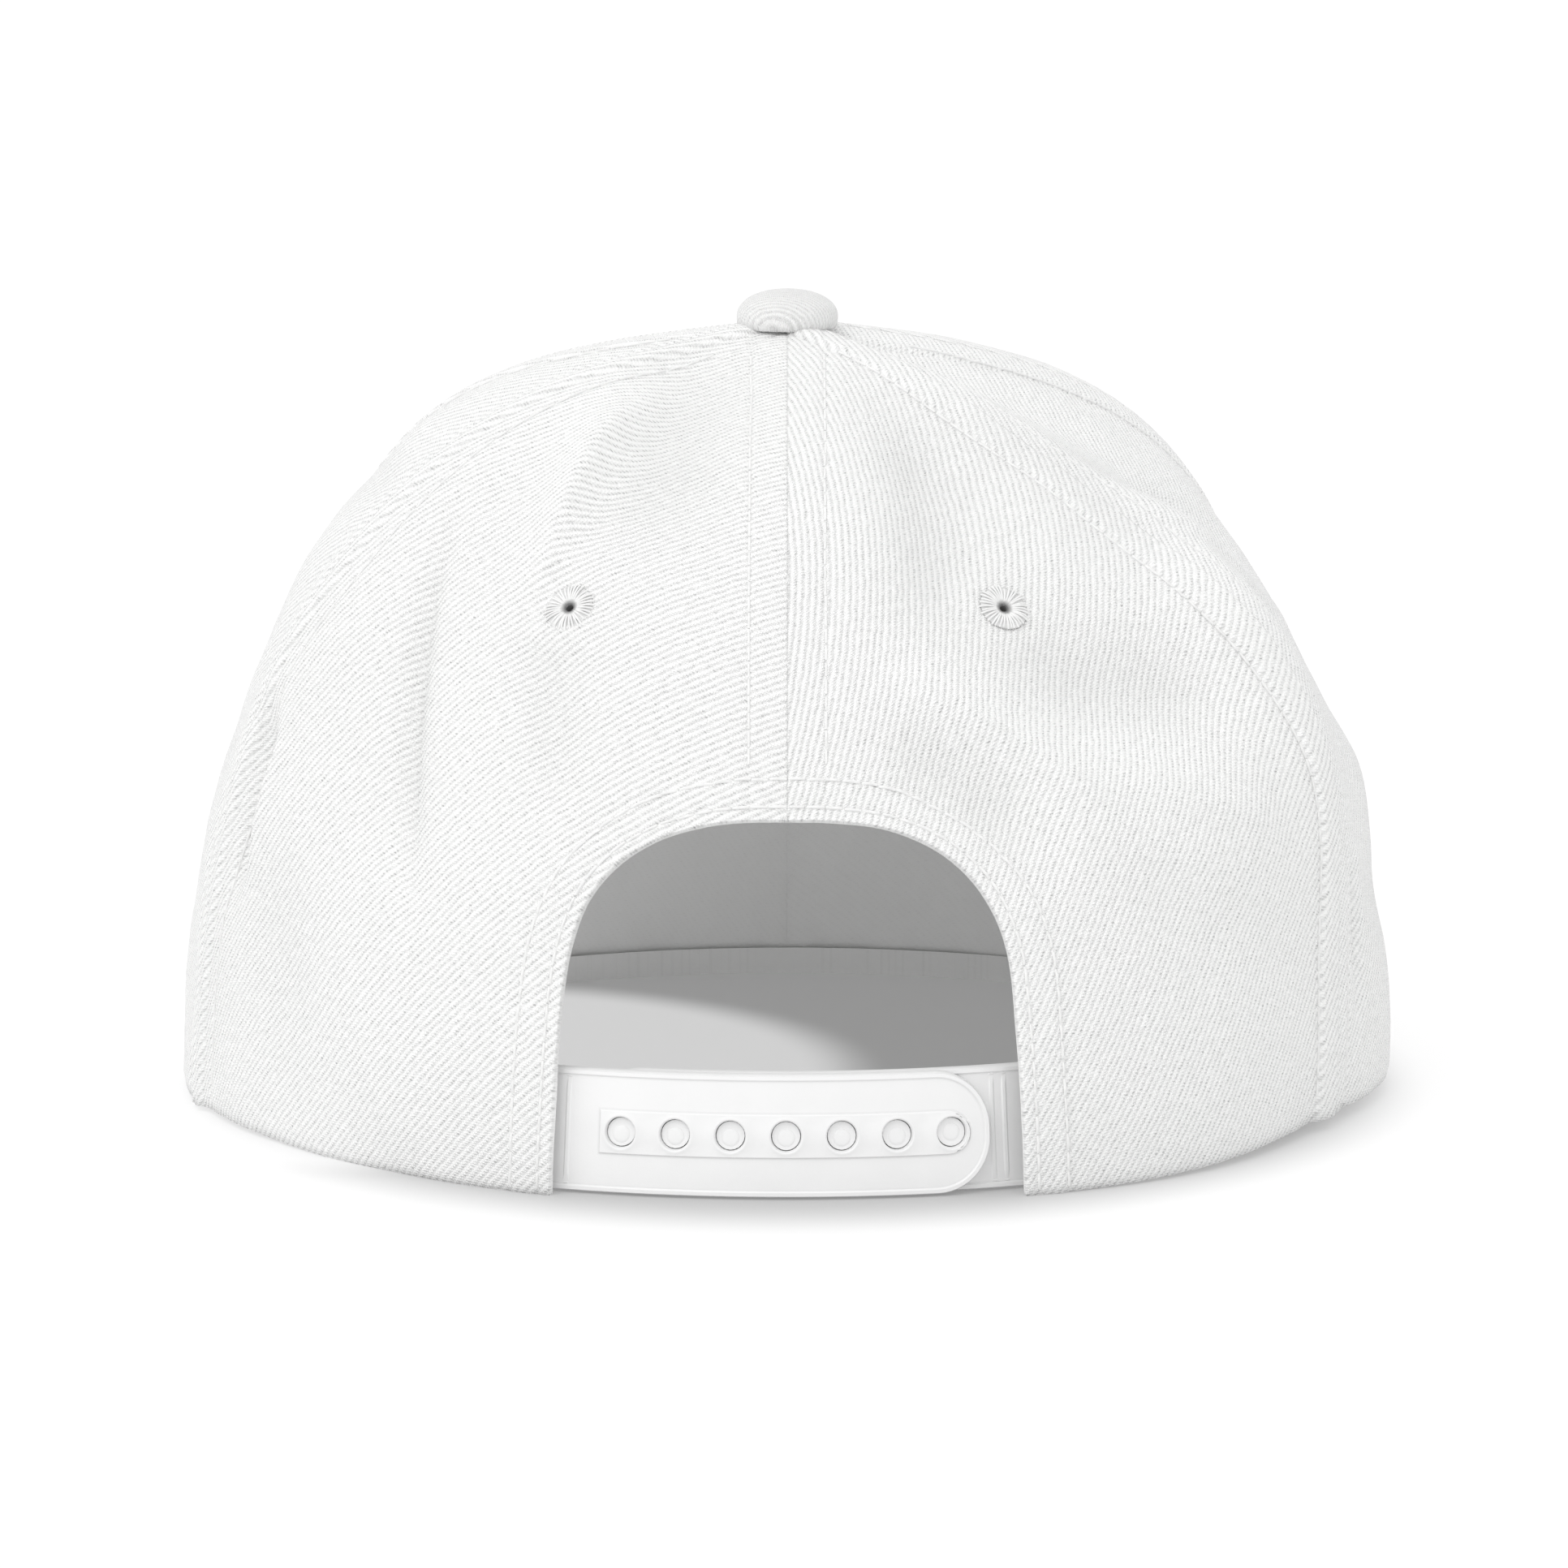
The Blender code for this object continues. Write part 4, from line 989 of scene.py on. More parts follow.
@dataclass
class Stitcher:
    """Sews rows of stitches on cloth."""

    thread: float = 0.42
    pitch: float = 2.7
    fill: float = 0.88
    rise: float = 0.07
    tree: bpy.types.NodeTree = field(default_factory=stitch_tree)
    _points: list[Array] = field(default_factory=list)
    _ahead: list[Array] = field(default_factory=list)
    _facing: list[Array] = field(default_factory=list)

    def add_row(self, path: Array, cloth: BVHTree, reach: float = 0.004) -> None:
        """Lay a row along a path, on the nearest cloth.

        Args:
            path: Points near the cloth, in metres.
            cloth: The cloth's faces.
            reach: How far the cloth may be from the path, in metres.
        """
        knots = evenly(path, self.pitch * MM)
        middles = 0.5 * (knots[1:] + knots[:-1])
        ahead = unit(knots[1:] - knots[:-1])
        for middle, direction in zip(middles, ahead):
            spot, normal, _, _ = cloth.find_nearest(Vector(middle), reach)
            if spot is not None:
                self._points.append(np.array(spot))
                self._ahead.append(direction)
                self._facing.append(np.array(normal))

    def sew(self, name: str, material: bpy.types.Material, seed: int) -> bpy.types.Object:
        """Turn the rows laid so far into one piece and start afresh.

        Args:
            name: The piece's name.
            material: The thread's finish.
            seed: Seed of the stitches' unevenness.

        Returns:
            The piece.
        """
        span = np.full(len(self._points), self.pitch * self.fill * MM)
        carrier = point_carrier(np.array(self._points),
                                {"ahead": np.array(self._ahead), "facing": np.array(self._facing)},
                                {"span": span})
        mesh = baked_copy(carrier, self.tree, {"Thread": self.thread * MM, "Rise": self.rise * MM,
                                               "Seed": seed, "Material": material}, name)
        self._points, self._ahead, self._facing = [], [], []
        return link_piece(mesh, name, material)


class PanelRow(NamedTuple):
    """A panel between two seams, with the size that it is cut to and the lean of its weave."""

    name: str
    first_seam: str
    last_seam: str
    middle_turn: float
    eyelet: tuple[float, float]
    cut_width: float
    cut_height: float
    cut_share: float
    top_lean: float
    rim_lean: float


PANELS = (
    PanelRow("back_left", "back", "side_left", 34, (31, 0.50), 0.118, 0.146, 0.61, -4, -2),
    PanelRow("back_right", "side_right", "back", -30, (-31.5, 0.49), 0.106, 0.146, 0.61, 28, 8),
    PanelRow("side_left", "side_left", "front_left", 96, (90, 0.45), 0.088, 0.150, 0.70, 12, 0),
    PanelRow("side_right", "front_right", "side_right", -92, (-91, 0.47), 0.094, 0.150, 0.70, -25, -10),
    PanelRow("front_left", "front_left", "front", 150, (148, 0.44), 0.094, 0.156, 0.70, 0, 0),
    PanelRow("front_right", "front", "front_right", -150, (-148, 0.44), 0.094, 0.156, 0.70, 0, 0),
)


class SeamRelief(NamedTuple):
    """How a panel's cloth rises beside one seam: rise, width of the band and width of its edge."""

    rise: float = 0.5
    width: float = 5.4
    edge: float = 1.4


SEAM_RELIEFS = {
    ("back_left", "back"): SeamRelief(0.08, 5.4, 2.0),
    ("back_right", "back"): SeamRelief(0.14, 5.4, 1.6),
    ("back_left", "side_left"): SeamRelief(0.85, 2.3, 1.2),
    ("side_left", "side_left"): SeamRelief(0.75, 2.0, 1.2),
    ("back_right", "side_right"): SeamRelief(0.95, 5.6, 0.9),
    ("side_right", "side_right"): SeamRelief(0.15, 5.0, 1.2),
}


@dataclass
class Panels:
    """The six cloth panels, their seams, the hem of the back opening and the stitching."""

    crown: CrownShape
    top_share: float = 0.018
    thickness: float = 1.3
    seam_overlap: float = 0.08
    roll: float = 0.40
    groove: float = 0.16
    centre_groove: float = 0.06
    groove_width: float = 0.40
    row_groove: float = 0.22
    back_rows: int = 201
    rows: int = 132
    row_offset: float = 5.6
    arch_top_share: float = 0.695
    arch_spring_share: float = 0.86
    arch_turn: float = 21.9
    arch_roundness: float = 2.7
    outer_shares: tuple[float, float] = (0.58, 0.82)
    hem_rows: tuple[float, float] = (2.0, 6.6)
    hem_rise: float = 0.42
    edge_steps: tuple[float, ...] = (0, 0.07, 0.16, 0.28, 0.42, 0.6, 0.9, 1.4, 2.0, 2.8, 3.6, 4.4, 5.0,
                                     5.35, 5.7, 6.1, 6.6, 7.3)
    cell: float = 0.95
    eyelet_hole: float = 1.9
    painted_fold_shade_depth: float = 3.4
    slow_waves: Waviness = field(default_factory=lambda: Waviness(seed=11, height=0.16, wavelength=22))
    quick_waves: Waviness = field(default_factory=lambda: Waviness(seed=12, height=0.05, wavelength=7))
    cloths: dict[str, BVHTree] = field(default_factory=dict)
    rim_edges: dict[str, Array] = field(default_factory=dict)

    def seam_edge(self, name: str, share: Array, side: int) -> Array:
        """Return the turn of a panel's edge, which laps over the seam a little."""
        turn = self.crown.seam_turn(name, share)
        at = self.crown.smooth(turn, share)
        radius = np.hypot(at[..., 0], at[..., 1]) / MM
        return turn - side * np.degrees(0.5 * self.seam_overlap / radius)

    def arch_edge(self, down: Array) -> tuple[Array, Array, Array]:
        """Return turn, share and outer share down the inner edge of a back panel.

        Args:
            down: Fractions down the panel: seam to 0.5, arch to 0.85, then leg.

        Returns:
            The inner edge's turns and shares, and the share where each row meets the outer seam.
        """
        seam_end, leg_start = 0.48, 0.86
        on_seam = np.clip(down / seam_end, 0, 1)
        on_arch = np.clip((down - seam_end) / (leg_start - seam_end), 0, 1)
        on_leg = np.clip((down - leg_start) / (1 - leg_start), 0, 1)
        power = 2 / self.arch_roundness
        swing = 0.5 * math.pi * on_arch
        span = self.arch_spring_share - self.arch_top_share
        share = (self.top_share + (self.arch_top_share - self.top_share) * on_seam
                 + span * (1 - np.cos(swing) ** power) + (1 - self.arch_spring_share) * on_leg)
        turn = np.maximum(self.seam_edge("back", share, 1), self.arch_turn * np.sin(swing) ** power)
        outer = np.interp(down, (0.0, seam_end, leg_start, 1.0), (self.top_share, *self.outer_shares, 1.0))
        return turn, share, outer

    def arch_line(self, side: int, samples: int = 160) -> Array:
        """Return points along the back opening's edge on one side, from its top to the rim."""
        down = np.linspace(0.48, 1.0, samples)
        turn, share, _ = self.arch_edge(down)
        return self.crown.surface(side * turn, share)[0]

    def columns(self, widths: Array, count: int) -> Array:
        """Return fractions across each row, with close columns along both edges.

        Args:
            widths: Width of each row in mm.
            count: Number of columns between the close ones.

        Returns:
            Rows of rising fractions from 0 to 1.
        """
        steps = np.array(self.edge_steps)
        squeeze = np.minimum(1.0, widths / (2.6 * steps[-1]))[:, None]
        left = steps[None, :] * squeeze
        right = widths[:, None] - left[:, ::-1]
        inner = np.linspace(0, 1, count + 2)[1:-1][None, :]
        middle = left[:, -1:] + (right[:, :1] - left[:, -1:]) * inner
        return np.concatenate([left, middle, right], axis=1) / widths[:, None]

    def layout(self, row: PanelRow) -> tuple[Array, Array]:
        """Return the turn and share of each point of a panel's grid, its rows running down."""
        is_back = "back" in (row.first_seam, row.last_seam)
        down = np.linspace(0, 1, self.back_rows if is_back else self.rows)
        if is_back:
            inner_turn, inner_share, outer_share = self.arch_edge(down)
            if row.first_seam == "back":
                ends = (inner_turn, self.seam_edge(row.last_seam, outer_share, -1))
                shares = (inner_share, outer_share)
            else:
                ends = (self.seam_edge(row.first_seam, outer_share, 1), -inner_turn)
                shares = (outer_share, inner_share)
        else:
            share = self.top_share + (1 - self.top_share) * down
            first = self.seam_edge(row.first_seam, share, 1)
            if row.first_seam == "front":
                first = first - 360
            ends = (first, self.seam_edge(row.last_seam, share, -1))
            shares = (share, share)
        gap = np.linalg.norm(self.crown.smooth(ends[0], shares[0]) - self.crown.smooth(ends[1], shares[1]),
                             axis=1) / MM
        widths = np.maximum(1.06 * gap, 0.5)
        across = self.columns(widths, int(widths.max() / self.cell))
        turn = ends[0][:, None] + (ends[1] - ends[0])[:, None] * across
        share = shares[0][:, None] + (shares[1] - shares[0])[:, None] * across
        return turn, share

    def seam_distances(self, row: PanelRow, turn: Array, share: Array) -> dict[str, Array]:
        """Return each place's distance in mm to each of the panel's two seams."""
        at = self.crown.smooth(turn, share)
        radius = np.hypot(at[..., 0], at[..., 1]) / MM
        distances = {}
        for name in (row.first_seam, row.last_seam):
            off = (turn - self.crown.seam_turn(name, share) + 180) % 360 - 180
            distances[name] = np.abs(np.radians(off)) * radius
        return distances

    def relief(self, row: PanelRow, to_seams: dict[str, Array], to_hem: Array) -> tuple[Array, Array]:
        """Return how far seams and hem raise the outer face in mm, and the painted shade in the seam grooves.

        Args:
            row: The panel.
            to_seams: Distance in mm to each of its seams.
            to_hem: Distance in mm to the back opening's edge.

        Returns:
            The rise and the painted shade at each place, darkest at the seams.
        """
        from_hem = eased((to_hem - 0.6) / 3.0)
        rise, crevice, rows = np.zeros(to_hem.shape), np.zeros(to_hem.shape), np.zeros(to_hem.shape)
        for name, to_seam in to_seams.items():
            look = SEAM_RELIEFS.get((row.name, name), SeamRelief())
            rise += look.rise * eased((look.width + 0.5 * look.edge - to_seam) / look.edge)
            groove = self.centre_groove if name == "back" else self.groove
            rise -= groove * np.exp(-(to_seam / self.groove_width) ** 2)
            rows += self.row_groove * np.exp(-((to_seam - self.row_offset) / 0.5) ** 2)
            # Painted shade: darker within about 0.2 mm of each seam, where the groove's shade falls.
            crevice += (0.45 if name == "back" else 0.8) * np.exp(-(to_seam / 0.17) ** 2)
        rise = (rise - rows) * from_hem
        hem = self.hem_rise * eased((self.hem_rows[1] + 0.7 - to_hem) / 1.2)
        for offset in self.hem_rows:
            hem = hem - self.row_groove * np.exp(-((to_hem - offset) / 0.5) ** 2)
        return rise + hem, np.clip(crevice, 0, 1) * from_hem

    def build_panel(self, row: PanelRow, material: bpy.types.Material) -> bpy.types.Object:
        """Build one panel.

        Args:
            row: The panel's place between its seams.
            material: Its cloth.

        Returns:
            The dressed piece.
        """
        turn, share = self.layout(row)
        points, out = self.crown.surface(turn, share)
        to_seams = self.seam_distances(row, turn, share)
        to_seam = np.minimum(*to_seams.values())
        to_hem = np.full(turn.shape, 99.0)
        if "back" in (row.first_seam, row.last_seam):
            side = 1 if row.first_seam == "back" else -1
            line = self.arch_line(side)
            flat = points.reshape(-1, 3)
            near = np.min([np.linalg.norm(flat - spot, axis=1) for spot in line[::2]], axis=0)
            to_hem = near.reshape(turn.shape) / MM
        rise, crevice = self.relief(row, to_seams, to_hem)
        waves = self.slow_waves.at(points) + self.quick_waves.at(points)
        calm = eased(to_seam / 9)
        points = points + (waves * calm)[..., None] * out
        normals = steadied(grid_normals(points), out)
        edge = self.edge_distance(points)
        inward = np.sqrt(np.clip(1 - (1 - np.minimum(edge / self.roll, 1)) ** 2, 0, 1))
        half = 0.5 * self.thickness * MM
        middle = points - half * normals
        at_seam = eased((4.0 - to_seam) / 1.0)
        least = 0.45 + 0.5 * at_seam
        swell = half * (least + (1 - least) * inward)
        outer = middle + (swell + rise * MM)[..., None] * normals
        inner = middle - swell[..., None] * normals
        rim = MM * self.crown.rim_level(turn)
        outer[..., 2] = np.maximum(outer[..., 2], rim)
        inner[..., 2] = np.maximum(inner[..., 2], rim)
        keep = self.open_eyelet(points, row)
        cloth_map = self.flat_places(row, turn, share)
        # Painted shade: the deeper a fold's valley, the darker its cloth, in full at the depth above.
        hollow = np.clip(-self.crown.fold_rise(self.crown.smooth(turn, share)) / (self.painted_fold_shade_depth * MM), 0, 1)
        blank = np.zeros(turn.shape)
        mesh = layered_mesh("cloth_" + row.name, outer, inner, keep, cloth_map,
                            {PAINTED_SHADE: (crevice, blank), PAINTED_FOLD_SHADE: (hollow, blank), INSIDE: (blank, blank + 1)})
        piece = link_piece(mesh, "cloth_" + row.name, material)
        self.cloths[row.name] = BVHTree.FromPolygons([v.co for v in mesh.vertices],
                                                     [p.vertices for p in mesh.polygons])
        dress(piece, ["panel_" + row.name])
        return piece

    def edge_distance(self, points: Array) -> Array:
        """Return each grid point's distance in mm to the panel's edge, measured along the grid."""
        across = np.linalg.norm(np.diff(points, axis=1), axis=-1) / MM
        down = np.linalg.norm(np.diff(points, axis=0), axis=-1) / MM
        from_left = np.pad(np.cumsum(across, axis=1), ((0, 0), (1, 0)))
        from_top = np.pad(np.cumsum(down, axis=0), ((1, 0), (0, 0)))
        return np.minimum.reduce([from_left, from_left[:, -1:] - from_left,
                                  from_top, from_top[-1:, :] - from_top])

    def flat_places(self, row: PanelRow, turn: Array, share: Array) -> Array:
        """Return where each place lies on the flat cloth in mm, along its threads.

        Args:
            row: The panel.
            turn: Turns in degrees.
            share: Shares from the top to the rim.

        Returns:
            Places across and down the cloth.
        """
        at = self.crown.smooth(turn, share)
        radius = np.hypot(at[..., 0], at[..., 1]) / MM
        depth = self.crown.depth_down(turn, share)
        off = (turn - row.middle_turn + 180) % 360 - 180
        fan = np.radians(off) * radius / depth
        middle = 0.5 * depth.max()
        lean = np.radians(row.top_lean + (row.rim_lean - row.top_lean) * share)
        across, down = depth * np.sin(fan), depth * np.cos(fan) - middle
        return np.stack([across * np.cos(lean) + down * np.sin(lean),
                         down * np.cos(lean) - across * np.sin(lean)], axis=-1)

    def open_eyelet(self, points: Array, row: PanelRow) -> Array:
        """Return which cells of a panel's grid stay, with the air hole left open."""
        spot = self.crown.surface(*row.eyelet)[0]
        middles = 0.25 * (points[:-1, :-1] + points[1:, :-1] + points[1:, 1:] + points[:-1, 1:])
        return np.linalg.norm(middles - spot, axis=-1) > self.eyelet_hole * MM

    def sew_all(self, stitcher: Stitcher, material: bpy.types.Material) -> None:
        """Sew the rows beside each seam and round the back opening."""
        for row in PANELS:
            for seam, side in ((row.first_seam, 1), (row.last_seam, -1)):
                end = 0.645 if seam == "back" else 0.985
                share = np.linspace(0.10, end, 90)
                turn = self.crown.seam_turn(seam, share)
                at = self.crown.smooth(turn, share)
                radius = np.hypot(at[..., 0], at[..., 1]) / MM
                stitcher.add_row(self.crown.surface(turn + side * np.degrees(self.row_offset / radius),
                                                    share)[0], self.cloths[row.name])
            dress(stitcher.sew("stitches_" + row.name, material, seed=len(row.name)))
        hem_stitcher = Stitcher(thread=0.5, rise=0.12)
        for side, name in ((1, "back_left"), (-1, "back_right")):
            line = self.arch_line(side)
            centre = line.mean(axis=0)
            ahead = unit(np.gradient(line, axis=0))
            out = unit((line - np.array([*self.crown.axis, 0.0])) * np.array([1, 1, 0.35]))
            outward = unit(np.cross(ahead, out))
            outward *= np.sign((outward * (line - (centre - np.array([side * 0.03, 0, 0])))).sum(axis=1,
                                                                                              keepdims=True))
            for offset in self.hem_rows:
                path = line + offset * MM * outward
                path = path[path[:, 2] > 0.6 * MM]
                hem_stitcher.add_row(path, self.cloths[name])
            dress(hem_stitcher.sew("stitches_hem_" + name, material, seed=31 + side))

    def build(self, finishes: Finishes) -> None:
        """Build the panels, log their cloth areas and sew them."""
        for row in PANELS:
            piece = self.build_panel(row, finishes.twill)
            area = sum(face.area for face in piece.data.polygons) / 2
            log.info("%s: cloth area %.5f", piece.name, area)
        self.sew_all(Stitcher(), finishes.thread)


@dataclass
class Eyelets:
    """Six embroidered rings round the air holes."""

    crown: CrownShape
    panels: Panels
    threads: int = 36
    inner_radius: float = 0.65
    outer_radius: float = 3.8
    rise: float = 0.42
    thread: float = 0.34
    back_depth: float = 1.9

    def build(self, finishes: Finishes) -> None:
        """Build each eyelet on its panel."""
        tree = eyelet_tree()
        for number, row in enumerate(PANELS):
            place = self.crown.surface(*row.eyelet)[0]
            facing = self.facing(row)
            carrier = point_carrier(np.zeros((1, 3)), {}, {})
            mesh = baked_copy(carrier, tree, {
                "Count": self.threads, "Inner Radius": self.inner_radius * MM,
                "Outer Radius": self.outer_radius * MM, "Rise": self.rise * MM,
                "Thread": self.thread * MM, "Seed": 3 + number, "Material": finishes.thread},
                "eyelet_ring_" + row.name)
            threads = len(mesh.vertices)
            self.add_barrel(mesh)
            self.shade_depths(mesh, threads)
            turn = Vector(facing).to_track_quat("Z", "Y").to_matrix().to_4x4()
            mesh.transform(Matrix.Translation(Vector(place)) @ turn)
            piece = link_piece(mesh, "eyelet_ring_" + row.name, finishes.thread)
            dress(piece, ["eyelet_" + row.name])

    def facing(self, row: PanelRow) -> Array:
        """Return the unit vector square to the folded cloth at a panel's eyelet."""
        turn, share = row.eyelet
        turns = np.array([turn - 2.0, turn + 2.0, turn, turn])
        shares = np.array([share, share, share - 0.02, share + 0.02])
        points = self.crown.surface(turns, shares)[0]
        return unit(np.cross(points[1] - points[0], points[3] - points[2]))

    def shade_depths(self, mesh: bpy.types.Mesh, threads: int) -> None:
        """Paint shade on the hole's wall and on the padded ring between the threads.

        Args:
            mesh: The ring, with its threads' vertices first.
            threads: Number of vertices in the threads.
        """
        spots = np.empty(3 * len(mesh.vertices))
        mesh.vertices.foreach_get("co", spots)
        spots = spots.reshape(-1, 3) / MM
        radius = np.hypot(spots[:, 0], spots[:, 1])
        # Painted shade: darkest low in the hole, and a fixed share on the padded ring under the threads.
        depth = eased((self.inner_radius + 0.75 - radius) / 0.7) * eased((0.62 - spots[:, 2]) / 0.5)
        depth[threads:] = np.maximum(depth[threads:], 0.22)
        set_vertex_values(mesh, PAINTED_SHADE, depth)

    def add_barrel(self, mesh: bpy.types.Mesh) -> None:
        """Add the padded ring under the threads, with the overcast edge inside the hole."""
        profile = [(self.inner_radius, 0.0), (self.inner_radius + 0.7, 0.26), (2.4, 0.30),
                   (self.outer_radius - 0.35, 0.12), (self.outer_radius - 0.1, 0.0),
                   (self.inner_radius + 0.75, -0.15), (self.inner_radius + 0.75, -self.back_depth + 0.1),
                   (self.outer_radius - 0.6, -self.back_depth + 0.1),
                   (self.outer_radius - 0.7, -self.back_depth - 0.3),
                   (self.inner_radius + 0.2, -self.back_depth - 0.4), (self.inner_radius, -self.back_depth)]
        work = bmesh.new()
        work.from_mesh(mesh)
        add_turned(work, profile, 40, closed=True)
        work.to_mesh(mesh)
        work.free()
        mesh.shade_smooth()


def add_turned(work: bmesh.types.BMesh, profile: Sequence[tuple[float, float]], sides: int,
               closed: bool) -> None:
    """Add a turned shape to a mesh being built.

    Args:
        work: The mesh being built, in metres.
        profile: Radius and height of each point in mm, its first and last on the axis if not closed.
        sides: Number of steps round.
        closed: Whether the profile is a loop round a hole.
    """
    rings = []
    for radius, height in profile:
        if radius < 1e-6:
            rings.append([work.verts.new((0, 0, height * MM))])
            continue
        rings.append([work.verts.new((radius * MM * math.cos(2 * math.pi * k / sides),
                                      radius * MM * math.sin(2 * math.pi * k / sides), height * MM))
                      for k in range(sides)])
    pairs = list(zip(rings, rings[1:])) + ([(rings[-1], rings[0])] if closed else [])
    made = []
    for upper, lower in pairs:
        for k in range(sides):
            corners = [upper[k % len(upper)], upper[(k + 1) % len(upper)],
                       lower[(k + 1) % len(lower)], lower[k % len(lower)]]
            corners = list(dict.fromkeys(corners))
            made.append(work.faces.new(corners))
    bmesh.ops.recalc_face_normals(work, faces=made)


@dataclass
class TopButton:
    """The covered button on the apex, with the post and plate that hold it."""

    axis: tuple[float, float]
    radius: float = 7.65
    top: float = 121.1
    rim: float = 115.5
    post_radius: float = 1.5
    plate_radius: float = 4.5
    plate_top: float = 112.6
    plate_thickness: float = 0.9
    sides: int = 96
    gathers: int = 22
    gather_depth: float = 0.10
    cover_turn: float = 64.0
    cover_scale: float = 1.6

    def profile(self) -> list[tuple[float, float]]:
        """Return the turned outline, from the top of the dome down to the plate."""
        dome = self.top - self.rim
        swing = np.linspace(0, 0.5 * math.pi, 16)
        points = [(self.radius * math.sin(a) ** 0.9, self.rim + 0.26 * dome + 0.74 * dome * math.cos(a) ** 0.92)
                  for a in swing]
        points[0] = (0.0, self.top)
        points += [(self.radius, self.rim + 0.16 * dome), (0.985 * self.radius, self.rim + 0.07 * dome),
                   (0.95 * self.radius, self.rim), (0.86 * self.radius, self.rim - 0.02),
                   (0.5 * self.radius, self.rim + 0.5), (self.post_radius, self.rim + 0.8),
                   (self.post_radius, self.plate_top), (self.plate_radius, self.plate_top),
                   (self.plate_radius, self.plate_top - 0.6 * self.plate_thickness),
                   (self.plate_radius - 0.4, self.plate_top - self.plate_thickness),
                   (0.0, self.plate_top - self.plate_thickness)]
        return points

    def wrapped_places(self, points: Array, radius: Array) -> Array:
        """Return each point's place on the flat cover in mm, with the twill's lines along X."""
        drop = np.maximum(self.top - points[:, 2] / MM, 0)
        reach = np.hypot(radius / MM, 0.9 * drop)
        flat = self.cover_scale * points[:, :2] / MM * (reach / np.maximum(radius / MM, 1e-6))[:, None]
        turn = math.radians(self.cover_turn)
        return np.stack([flat[:, 0] * math.cos(turn) - flat[:, 1] * math.sin(turn),
                         flat[:, 0] * math.sin(turn) + flat[:, 1] * math.cos(turn)], axis=1)

    def build(self, finishes: Finishes) -> None:
        """Build the button and drape its cover."""
        work = bmesh.new()
        add_turned(work, self.profile(), self.sides, closed=False)
        mesh = bpy.data.meshes.new("button_cover")
        work.to_mesh(mesh)
        work.free()
        points = np.array([vertex.co[:] for vertex in mesh.vertices])
        angle = np.arctan2(points[:, 1], points[:, 0])
        radius = np.hypot(points[:, 0], points[:, 1])
        low = eased((self.rim * MM + 1.8 * MM - points[:, 2]) / (1.8 * MM)) * (radius > 0.6 * self.radius * MM)
        pull = 1 - low * self.gather_depth / self.radius * (1 + np.cos(self.gathers * angle))
        points[:, :2] *= pull[:, None]
        flat = self.wrapped_places(points, radius)
        points[:, :2] += np.array(self.axis)
        mesh.vertices.foreach_set("co", points.astype(np.float32).ravel())
        mesh.update()
        set_map(mesh, CLOTH_MAP, flat)
        # Painted shade: the gathered lower edge of the cover darkens a little.
        set_vertex_values(mesh, PAINTED_SHADE, 0.3 * low)
        mesh.shade_smooth()
        mesh.set_sharp_from_angle(angle=math.radians(55))
        piece = link_piece(mesh, "button_cover", finishes.button_twill)
        dress(piece, ["top_button"])


class VisorRow(NamedTuple):
    """How far the visor's edge is from the button's axis at one turn off the front."""

    off_front: float
    reach: float


VISOR_EDGE = (
    VisorRow(0, 159.0),
    VisorRow(15, 156.0),
    VisorRow(28, 146.0),
    VisorRow(40, 128.0),
    VisorRow(52, 110.0),
    VisorRow(61, 98.0),
    VisorRow(67, 89.5),
)


